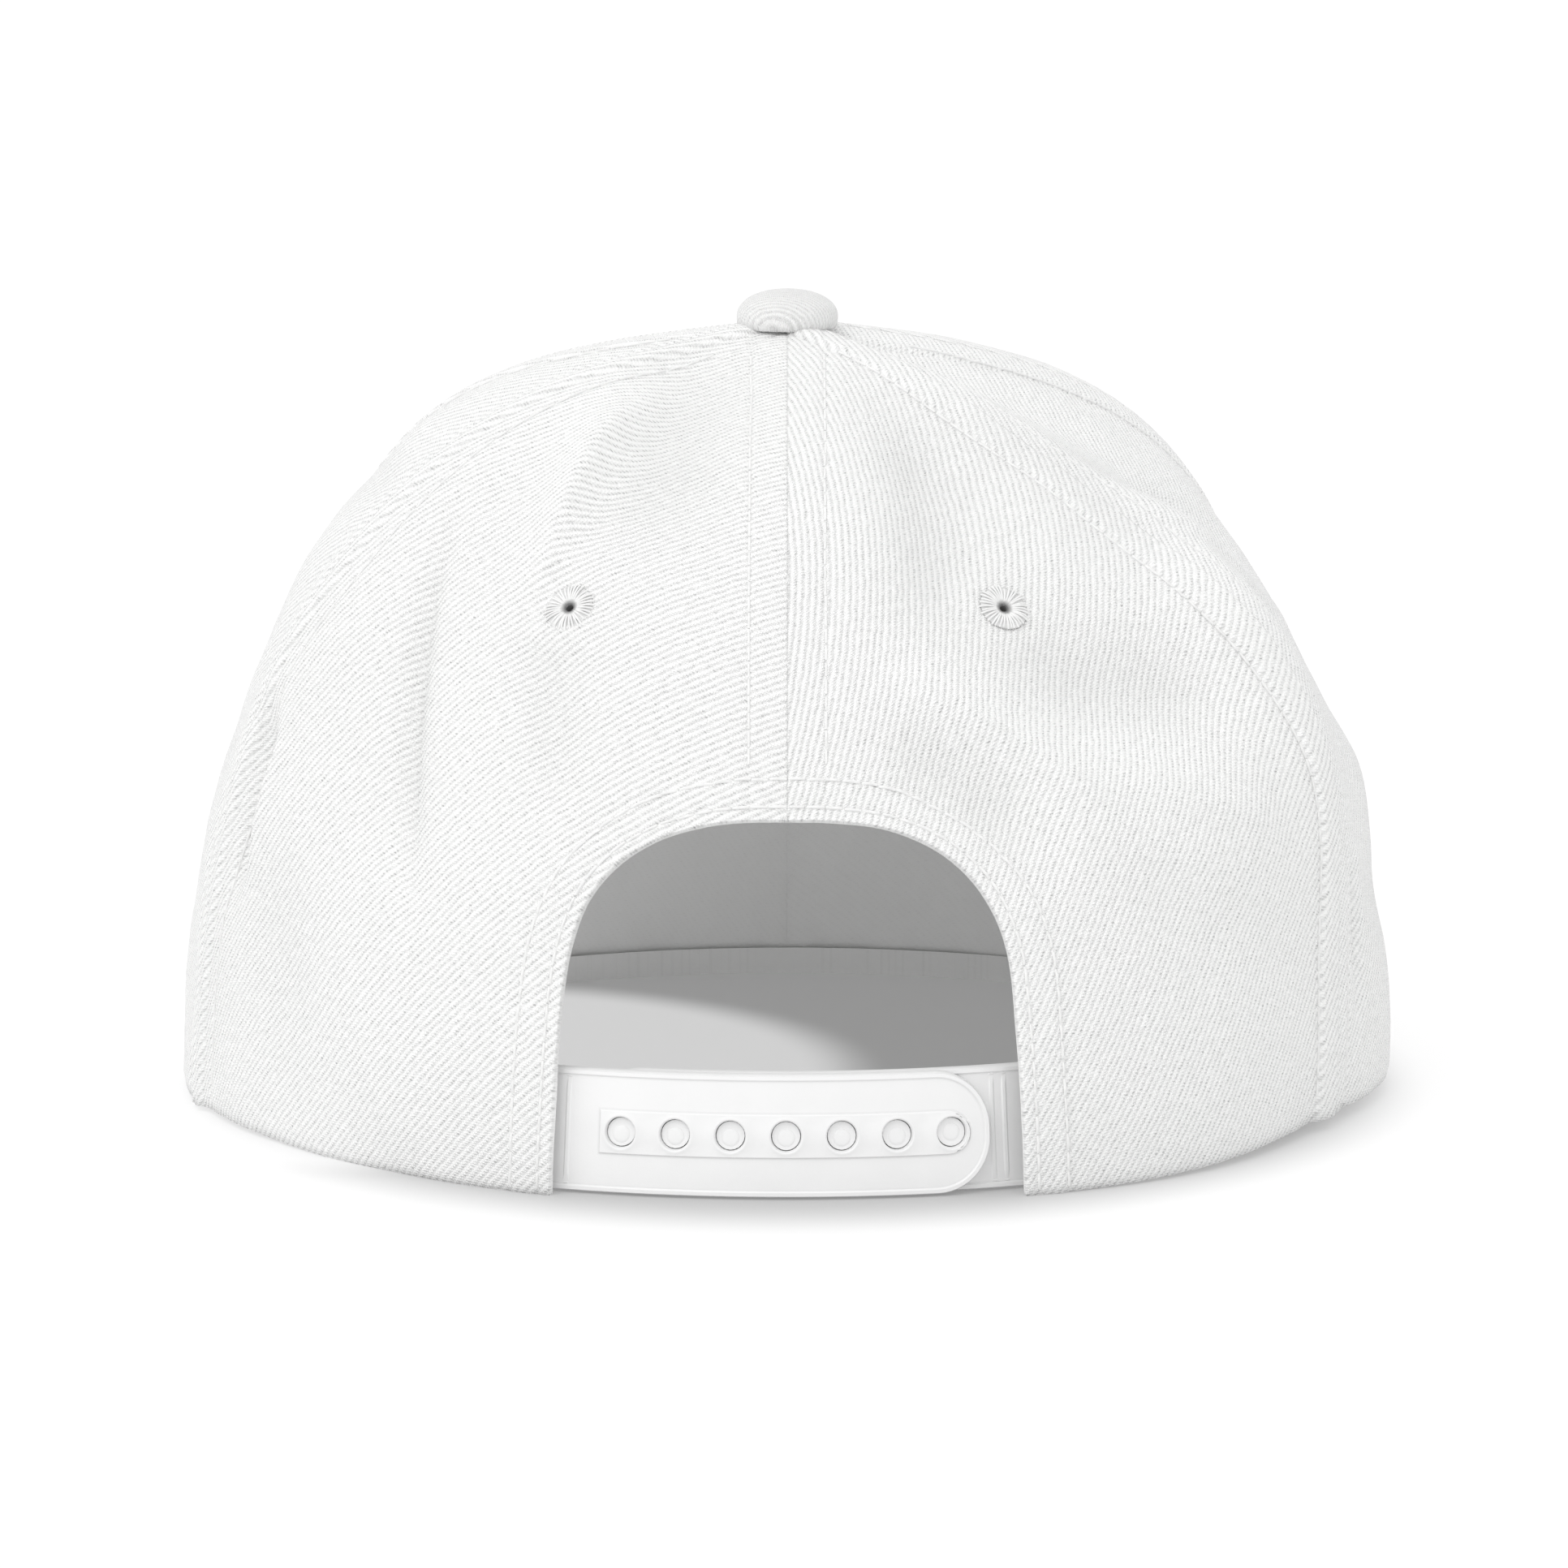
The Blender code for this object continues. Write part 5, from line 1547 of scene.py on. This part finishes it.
@dataclass
class Visor:
    """The flat visor, covered in twill on both faces, with rows of stitches."""

    crown: CrownShape
    thickness: float = 3.2
    tuck: float = 1.9
    welt_rise: float = 0.40
    lip_width: float = 0.30
    lip_rise: float = 0.5
    columns: int = 150
    rows: int = 68
    stitch_rows: int = 6
    first_row: float = 4.0
    row_pitch: float = 6.0

    def reach(self, off: Array) -> Array:
        """Read the outer edge's distance from the axis at turns off the front."""
        return smooth_value([row.off_front for row in VISOR_EDGE], [row.reach for row in VISOR_EDGE],
                            np.abs(off))

    def inner(self, off: Array) -> Array:
        """Return the inner edge's distance from the axis, under the crown's rim."""
        return self.crown.section_value("rim_radius", 180 + off) - self.tuck

    def ring(self, radius: Array, off: Array) -> Array:
        """Return points in mm at distances from the axis, round the front."""
        angle = np.radians(off)
        return np.stack([radius * np.sin(angle), -radius * np.cos(angle)], axis=-1)

    def build(self, finishes: Finishes, stitcher: Stitcher) -> None:
        """Build the visor and sew its rows."""
        widest = VISOR_EDGE[-1].off_front
        off = widest * np.sin(np.linspace(-0.5 * math.pi, 0.5 * math.pi, self.columns))
        down = np.concatenate([np.linspace(0, 0.035, 12), np.linspace(0.055, 0.94, self.rows - 24),
                               np.linspace(0.95, 1.0, 12)])
        outer_line, inner_line = self.ring(self.reach(off), off), self.ring(self.inner(off), off)
        flat = inner_line[None] + (outer_line - inner_line)[None] * down[:, None, None]
        edge = np.minimum(np.linalg.norm(flat - outer_line[None], axis=-1), 4.0)
        edge = np.minimum(edge, np.linalg.norm(flat[:, :1] - flat, axis=-1))
        edge = np.minimum(edge, np.linalg.norm(flat[:, -1:] - flat, axis=-1))
        half = 0.5 * self.thickness
        round_off = np.sqrt(np.clip(1 - (1 - np.minimum(edge / (0.8 * half), 1)) ** 2, 0.01, 1))
        sunk = np.zeros(edge.shape)
        for number in range(self.stitch_rows):
            inset = self.first_row + number * self.row_pitch
            to_row = np.linalg.norm(flat - outer_line[None], axis=-1) - inset
            sunk = sunk + 0.12 * np.exp(-(to_row / 0.8) ** 2)
        level = half * round_off - sunk
        under_rim = np.linalg.norm(flat - inner_line[None], axis=-1)
        welt = (self.welt_rise * eased((self.tuck - under_rim) / 0.4)
                + self.lip_rise * eased((self.lip_width + 0.2 - under_rim) / 0.2))
        layers = []
        for side, extra in ((1, welt), (-1, 0.0)):
            layers.append(np.concatenate([flat, (half + side * level + extra)[..., None]], axis=-1) * MM
                          + np.array([*self.crown.axis, 0.0]))
        keep = np.ones((flat.shape[0] - 1, flat.shape[1] - 1), bool)
        tucked = eased((self.tuck - 0.4 - under_rim) / 0.6)
        mesh = layered_mesh("visor_cover", layers[0], layers[1], keep, flat, {INSIDE: (tucked, tucked)})
        mesh.set_sharp_from_angle(angle=math.radians(60))
        piece = link_piece(mesh, "visor_cover", finishes.twill)
        dress(piece, ["visor"])
        cloth = BVHTree.FromPolygons([v.co for v in mesh.vertices], [p.vertices for p in mesh.polygons])
        for number in range(self.stitch_rows):
            inset = self.first_row + number * self.row_pitch
            for height in (self.thickness, 0.0):
                path = self.row_path(off, inset)
                spots = np.concatenate([path, np.full((len(path), 1), height)], axis=1) * MM
                stitcher.add_row(spots + np.array([*self.crown.axis, 0.0]), cloth)
        dress(stitcher.sew("stitches_visor", finishes.thread, seed=5))

    def row_path(self, off: Array, inset: float) -> Array:
        """Return a line in mm at an inset from the outer edge, where it lies on the visor."""
        line = self.ring(self.reach(off), off)
        ahead = unit(np.gradient(line, axis=0))
        inward = np.stack([-ahead[:, 1], ahead[:, 0]], axis=1)
        path = line + inset * inward
        radius = np.hypot(path[:, 0], path[:, 1])
        turn = np.degrees(np.arctan2(path[:, 0], -path[:, 1]))
        clear = (radius > self.inner(turn) + self.tuck + 1.0) & (np.abs(turn) < VISOR_EDGE[-1].off_front - 2)
        return path[clear]


class StrapRow(NamedTuple):
    """One strip of the snap strap."""

    name: str
    sewn_end: float
    free_end: float
    layer: int
    has_holes: bool
    ridges: tuple[float, ...]


STRAPS = (
    StrapRow("strap_left", 44.0, -30.2, 0, True, (32.8,)),
    StrapRow("strap_right", -50.0, 30.5, 1, False, (-31.2, -33.2)),
)


@dataclass
class SnapStrap:
    """Two plastic strips on one arc: one with holes in a raised bar, one with pegs."""

    axis: tuple[float, float]
    radius: float = 93.0
    back: float = 88.5
    lean: float = 0.12
    bottom: float = 0.3
    height: float = 17.6
    thickness: float = 1.5
    layer_gap: float = 0.3
    corner: float = 8.2
    count: int = 7
    pitch: float = 8.15
    middle: float = 0.2
    hole_radius: float = 2.2
    peg_radius: float = 1.4
    peg_shy: float = 0.25
    peg_drop: float = 0.3
    boss_radius: float = 2.06
    boss_shy: float = 0.42
    bar_half: float = 3.2
    bar_ends: tuple[float, float] = (-27.0, 27.9)
    bar_rise: float = 0.26
    border_rise: float = 0.2
    ridge_rise: float = 0.15

    def bend(self, along: Array, height: Array, depth: Array) -> Array:
        """Bend places on the flat strap round its arc.

        Args:
            along: Length in mm along the arc from its middle.
            height: Height in mm over the strap's lower edge.
            depth: Depth in mm under the outer strip's face.

        Returns:
            Points in the row frame in metres.
        """
        angle = along / self.radius
        radius = self.radius - depth - self.lean * height
        return np.stack([radius * np.sin(angle), self.back - self.radius + radius * np.cos(angle),
                         self.bottom + height], axis=-1) * MM + np.array([*self.axis, 0.0])

    def centres(self) -> Array:
        """Return the places of the snaps along the strap."""
        return self.middle + self.pitch * (np.arange(self.count) - 0.5 * (self.count - 1))

    def outline(self, strap: StrapRow, inset: float) -> Array:
        """Return the strip's outline at an inset: a square sewn end and a rounded free end."""
        towards = 1 if strap.free_end > strap.sewn_end else -1
        length = abs(strap.free_end - strap.sewn_end)
        corner = self.corner - inset
        swing = np.linspace(0, 0.5 * math.pi, 14)
        run = np.arange(inset, length - self.corner, 1.3)
        top = np.stack([run, np.full(len(run), self.height - inset)], axis=1)
        upper = np.stack([length - self.corner + corner * np.sin(swing),
                          self.height - self.corner + corner * np.cos(swing)], axis=1)
        lower = upper[::-1] * np.array([1, -1]) + np.array([0, self.height])
        bottom = top[::-1] * np.array([1, -1]) + np.array([0, self.height])
        loop = np.concatenate([top, upper, lower, bottom])
        loop[:, 0] = strap.sewn_end + towards * loop[:, 0]
        return loop

    def bar_outline(self, inset: float) -> Array:
        """Return the raised bar's outline at an inset: one square end and one rounded end."""
        low, high = self.bar_ends[0] + inset, self.bar_ends[1] - inset
        half = self.bar_half - inset
        middle = 0.5 * self.height
        run = np.arange(low + half, high, 1.1)
        swing = np.linspace(0.5 * math.pi, 1.5 * math.pi, 16)
        end = np.stack([low + half + half * np.cos(swing), middle + half * np.sin(swing)], axis=1)
        top = np.stack([run[::-1], np.full(len(run), middle + half)], axis=1)
        bottom = np.stack([run, np.full(len(run), middle - half)], axis=1)
        corners = np.array([[high, middle - half], [high, middle + half]])
        return np.concatenate([top, end, bottom, corners])

    def hole_outline(self, centre: float, radius: float) -> Array:
        """Return a circle round a snap."""
        swing = np.linspace(0, 2 * math.pi, 29)[:-1]
        return np.stack([centre + radius * np.cos(swing), 0.5 * self.height + radius * np.sin(swing)], axis=1)

    def build_strip(self, strap: StrapRow, finishes: Finishes) -> None:
        """Build one strip with its relief and its snap holes."""
        # Each step is an inset, a rise and a painted shade; the shade darkens the inner foot of the raised border.
        steps = [(0.0, -0.30, 0.0), (0.08, -0.10, 0.0), (0.22, self.border_rise, 0.0),
                 (0.72, self.border_rise, 0.0), (0.95, 0.0, 0.35), (1.25, 0.0, 0.0)]
        loops, levels, shades = [], [], []
        for inset, level, shade in steps:
            loops.append(self.outline(strap, inset))
            levels.append(level)
            shades.append(shade)
        if strap.has_holes:
            # Painted shade at the foot of the raised bar and at the holes' edges.
            loops += [self.bar_outline(-0.3), self.bar_outline(0.0), self.bar_outline(0.22)]
            levels += [0.0, 0.0, self.bar_rise]
            shades += [0.0, 0.6, 0.0]
            for centre in self.centres():
                for extra, level in ((0.0, -0.22), (0.08, -0.04), (0.24, 0.06), (0.5, 0.06), (0.62, 0.0)):
                    loops.append(self.hole_outline(centre, self.hole_radius + extra))
                    levels.append(self.bar_rise + level)
                    shades.append(0.5 if extra < 0.1 else 0.0)
        for ridge in strap.ridges:
            for offset, level in ((-0.45, 0.0), (-0.2, self.ridge_rise), (0.2, self.ridge_rise), (0.45, 0.0)):
                heights = np.linspace(1.1, self.height - 1.1, 12)
                loops.append(np.stack([np.full(12, ridge + offset), heights], axis=1))
                levels.append(level)
                shades.append(0.0)
        mesh = self.cut_and_bend(strap, loops, levels, shades)
        piece = link_piece(mesh, strap.name + "_strip", finishes.plastic)
        dress(piece, [strap.name])

    def cut_and_bend(self, strap: StrapRow, loops: list[Array], levels: list[float],
                     shades: list[float]) -> bpy.types.Mesh:
        """Fill the outlines with triangles, cut the holes, give the strip its back and bend it.

        Args:
            strap: The strip.
            loops: Outlines on the flat strap in mm.
            levels: How far each outline stands out in mm.
            shades: How much painted shade each outline gets, 0 to 1.

        Returns:
            The strip's mesh.
        """
        points, edges, rises, depths = [], [], [], []
        for loop, level, shade in zip(loops, levels, shades):
            start = len(points)
            points += [Vector(p) for p in loop]
            rises += [level] * len(loop)
            depths += [shade] * len(loop)
            closed = len(loop) != 12
            last = len(loop) if closed else len(loop) - 1
            edges += [(start + k, start + (k + 1) % len(loop)) for k in range(last)]
        spots, _, faces, origins, _, _ = delaunay_2d_cdt(points, edges, [], 1, 1e-5)
        flat = np.array([spot[:] for spot in spots])
        rise = np.array([rises[o[0]] if o else 0.0 for o in origins])
        shade = np.array([depths[o[0]] if o else 0.0 for o in origins])
        triangles = np.array([face[:3] for face in faces])
        middles = flat[triangles].mean(axis=1)
        keep = np.ones(len(triangles), bool)
        if strap.has_holes:
            for centre in self.centres():
                keep &= np.hypot(middles[:, 0] - centre, middles[:, 1] - 0.5 * self.height) > self.hole_radius
        triangles = triangles[keep]
        base = strap.layer * (self.thickness + self.layer_gap)
        front = self.bend(flat[:, 0], flat[:, 1], base - rise)
        behind = self.bend(flat[:, 0], flat[:, 1], np.full(len(flat), base + self.thickness))
        count = len(flat)
        sides = np.concatenate([triangles[:, [0, 1]], triangles[:, [1, 2]], triangles[:, [2, 0]]])
        keys = np.sort(sides, axis=1) @ np.array([count, 1])
        _, first, uses = np.unique(keys, return_index=True, return_counts=True)
        border = sides[first[uses == 1]]
        walls = np.stack([border[:, 1], border[:, 0], border[:, 0] + count, border[:, 1] + count], axis=1)
        mesh = bpy.data.meshes.new(strap.name + "_strip")
        mesh.from_pydata(np.concatenate([front, behind]).tolist(), [],
                         triangles.tolist() + (triangles[:, ::-1] + count).tolist() + walls.tolist())
        # Painted shade at the steps' feet and the holes' edges; none on the back.
        set_vertex_values(mesh, PAINTED_SHADE, np.concatenate([shade, np.zeros(count)]))
        work = bmesh.new()
        work.from_mesh(mesh)
        loose = [v for v in work.verts if not v.link_faces]
        bmesh.ops.delete(work, geom=loose, context="VERTS")
        bmesh.ops.recalc_face_normals(work, faces=work.faces[:])
        work.to_mesh(mesh)
        work.free()
        mesh.shade_smooth()
        mesh.set_sharp_from_angle(angle=math.radians(28))
        return mesh

    def build_pegs(self, finishes: Finishes) -> None:
        """Build the domed pegs that stand on the inner strip, and the flat bosses under them."""
        tree = peg_tree()
        drops = np.full(self.count, self.peg_drop)
        drops[0] = 0.0
        for name, radius, dome, sunk, heights in (
                ("snap_pegs", self.peg_radius, 0.35, self.peg_shy, 0.5 * self.height - drops),
                ("snap_bosses", self.boss_radius, 0.03, self.boss_shy, np.full(self.count, 0.5 * self.height))):
            heads = self.bend(self.centres(), heights, np.full(self.count, sunk + dome))
            facing = unit(heads - self.bend(self.centres(), heights, np.full(self.count, 5.0)))
            facing = unit(facing + np.array([0, 0, self.lean]))
            carrier = point_carrier(heads, {"facing": facing}, {})
            mesh = baked_copy(carrier, tree, {
                "Radius": radius * MM, "Dome": dome * MM,
                "Length": (self.thickness + self.layer_gap + 0.3 - sunk - dome) * MM,
                "Material": finishes.plastic}, name)
            set_vertex_values(mesh, PAINTED_SHADE, np.zeros(len(mesh.vertices)))
            mesh.set_sharp_from_angle(angle=math.radians(40))
            dress(link_piece(mesh, name, finishes.plastic))

    def build(self, finishes: Finishes) -> None:
        """Build both strips and the pegs."""
        for strap in STRAPS:
            self.build_strip(strap, finishes)
        self.build_pegs(finishes)


@dataclass
class Studio:
    """Pale floor that glows, with a painted shadow round the cap's foot and a painted pool of light inside it, soft
    light and the camera.
    """

    axis: tuple[float, float]
    floor_size: float = 14.0
    floor_colour: float = 0.35
    glow: float = 0.62
    painted_glow_inside: float = 0.18
    painted_light_pool: float = 0.51
    painted_shadow_radius: tuple[float, float] = (0.075, 0.099)
    painted_shadow_squeeze: float = 0.85
    light_pool_middle: tuple[float, float] = (0.0623, -0.0058)
    light_pool_radius: float = 0.0715
    light_pool_softness: float = 0.007
    world_strength: float = 1.0
    sun_strength: float = 0.8
    sun_spread: float = 50.0
    sun_from: tuple[float, float, float] = (0.6, 0.62, 1.15)
    camera_distance: float = 1.600
    camera_height: float = 0.320
    camera_side: float = 0.0005
    camera_pitch: float = 9.73
    lens: float = 246.0

    def floor_material(self) -> bpy.types.Material:
        """Build a pale glowing floor with a painted shadow where its glow fades round and under the cap, and a painted
        pool of light in a round patch inside.
        """
        material, wiring, shader = blank_material("pale_floor")
        place = wiring.node("ShaderNodeTexCoord")
        from_axis = wiring.vector("SUBTRACT", place.outputs["Object"], (*self.axis, 0.0))
        axes = wiring.fed("ShaderNodeSeparateXYZ", {0: from_axis})
        # Painted shadow: the glow fades in a ring round the cap's foot, squeezed front to back.
        nearer = wiring.math("MULTIPLY", axes.outputs["Y"], self.painted_shadow_squeeze)
        distance = wiring.math("SQRT", wiring.math("ADD",
                                                   wiring.math("POWER", wiring.math("ABSOLUTE", axes.outputs["X"]), 2.0),
                                                   wiring.math("POWER", wiring.math("ABSOLUTE", nearer), 2.0)))
        outside = wiring.spread(distance, *self.painted_shadow_radius)
        # Painted pool of light: a round brighter patch on the floor inside the cap; elsewhere inside, a dim painted
        # glow.
        off = [wiring.math("SUBTRACT", axes.outputs[name], middle)
               for name, middle in zip("XY", self.light_pool_middle)]
        reach = wiring.math("SQRT", wiring.math("ADD", wiring.math("POWER", wiring.math("ABSOLUTE", off[0]), 2.0),
                                                wiring.math("POWER", wiring.math("ABSOLUTE", off[1]), 2.0)))
        light_pool = wiring.spread(reach, self.light_pool_radius - self.light_pool_softness,
                              self.light_pool_radius + self.light_pool_softness, 1.0, 0.0)
        inside = wiring.math("MULTIPLY_ADD", light_pool, self.painted_light_pool - self.painted_glow_inside, self.painted_glow_inside)
        rest = wiring.math("SUBTRACT", 1.0, outside)
        glow = wiring.math("MULTIPLY_ADD", outside, self.glow, wiring.math("MULTIPLY", rest, inside))
        cloud = wiring.noise(place.outputs["Object"], 3.0, 2.0).outputs[0]
        tone = self.floor_colour
        low = 0.985 * tone
        wiring.feed(shader.inputs["Base Color"], wiring.mix(cloud, (tone, tone, tone, 1), (low, low, low, 1)))
        shader.inputs["Roughness"].default_value = 0.6
        shader.inputs["Specular IOR Level"].default_value = 0.1
        shader.inputs["Emission Strength"].default_value = 1.0
        wiring.feed(shader.inputs["Emission Color"], glow)
        return material

    def build_floor(self) -> None:
        """Build the floor as one wide face."""
        half = 0.5 * self.floor_size
        mesh = bpy.data.meshes.new("studio_floor")
        mesh.from_pydata([(-half, -half, 0), (half, -half, 0), (half, half, 0), (-half, half, 0)], [],
                         [(0, 1, 2, 3)])
        link_piece(mesh, "studio_floor", self.floor_material())

    def build_lights(self) -> None:
        """Build an even sky and one broad soft light from the cap's left side."""
        world = bpy.data.worlds.new("studio")
        world.use_nodes = True
        background = world.node_tree.nodes["Background"]
        background.inputs["Color"].default_value = (1, 1, 1, 1)
        background.inputs["Strength"].default_value = self.world_strength
        bpy.context.scene.world = world
        sun = bpy.data.lights.new("key_light", "SUN")
        sun.energy = self.sun_strength
        sun.angle = math.radians(self.sun_spread)
        lamp = bpy.data.objects.new("key_light", sun)
        lamp.rotation_euler = (-Vector(self.sun_from)).to_track_quat("-Z", "Y").to_euler()
        bpy.context.scene.collection.objects.link(lamp)

    def build_camera(self) -> None:
        """Build the camera, level with its picture and without blur."""
        camera = bpy.data.cameras.new("camera")
        camera.lens = self.lens
        camera.sensor_width = 36.0
        camera.clip_start = 0.1
        camera.clip_end = 50.0
        view = bpy.data.objects.new("camera", camera)
        view.location = (self.axis[0] + self.camera_side, self.axis[1] + self.camera_distance,
                         self.camera_height)
        view.rotation_euler = (math.radians(90 - self.camera_pitch), 0, math.radians(180))
        bpy.context.scene.collection.objects.link(view)
        bpy.context.scene.camera = view
        bpy.context.scene.view_settings.view_transform = "Standard"

    def build(self) -> None:
        """Build the floor, the lights and the camera."""
        self.build_floor()
        self.build_lights()
        self.build_camera()


def main() -> None:
    """Build the cap, its stage and the camera."""
    logging.basicConfig(level=logging.INFO, format="%(name)s: %(message)s")
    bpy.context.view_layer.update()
    low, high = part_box("top_button")
    axis = (0.5 * (low[0] + high[0]), 0.5 * (low[1] + high[1]))
    Studio(axis).build()
    finishes = build_finishes()
    crown = CrownShape(axis, calm_places=[row.eyelet for row in PANELS])
    panels = Panels(crown)
    panels.build(finishes)
    Eyelets(crown, panels).build(finishes)
    TopButton(axis).build(finishes)
    Visor(crown).build(finishes, Stitcher())
    SnapStrap(axis).build(finishes)


if __name__ == "__main__":
    main()
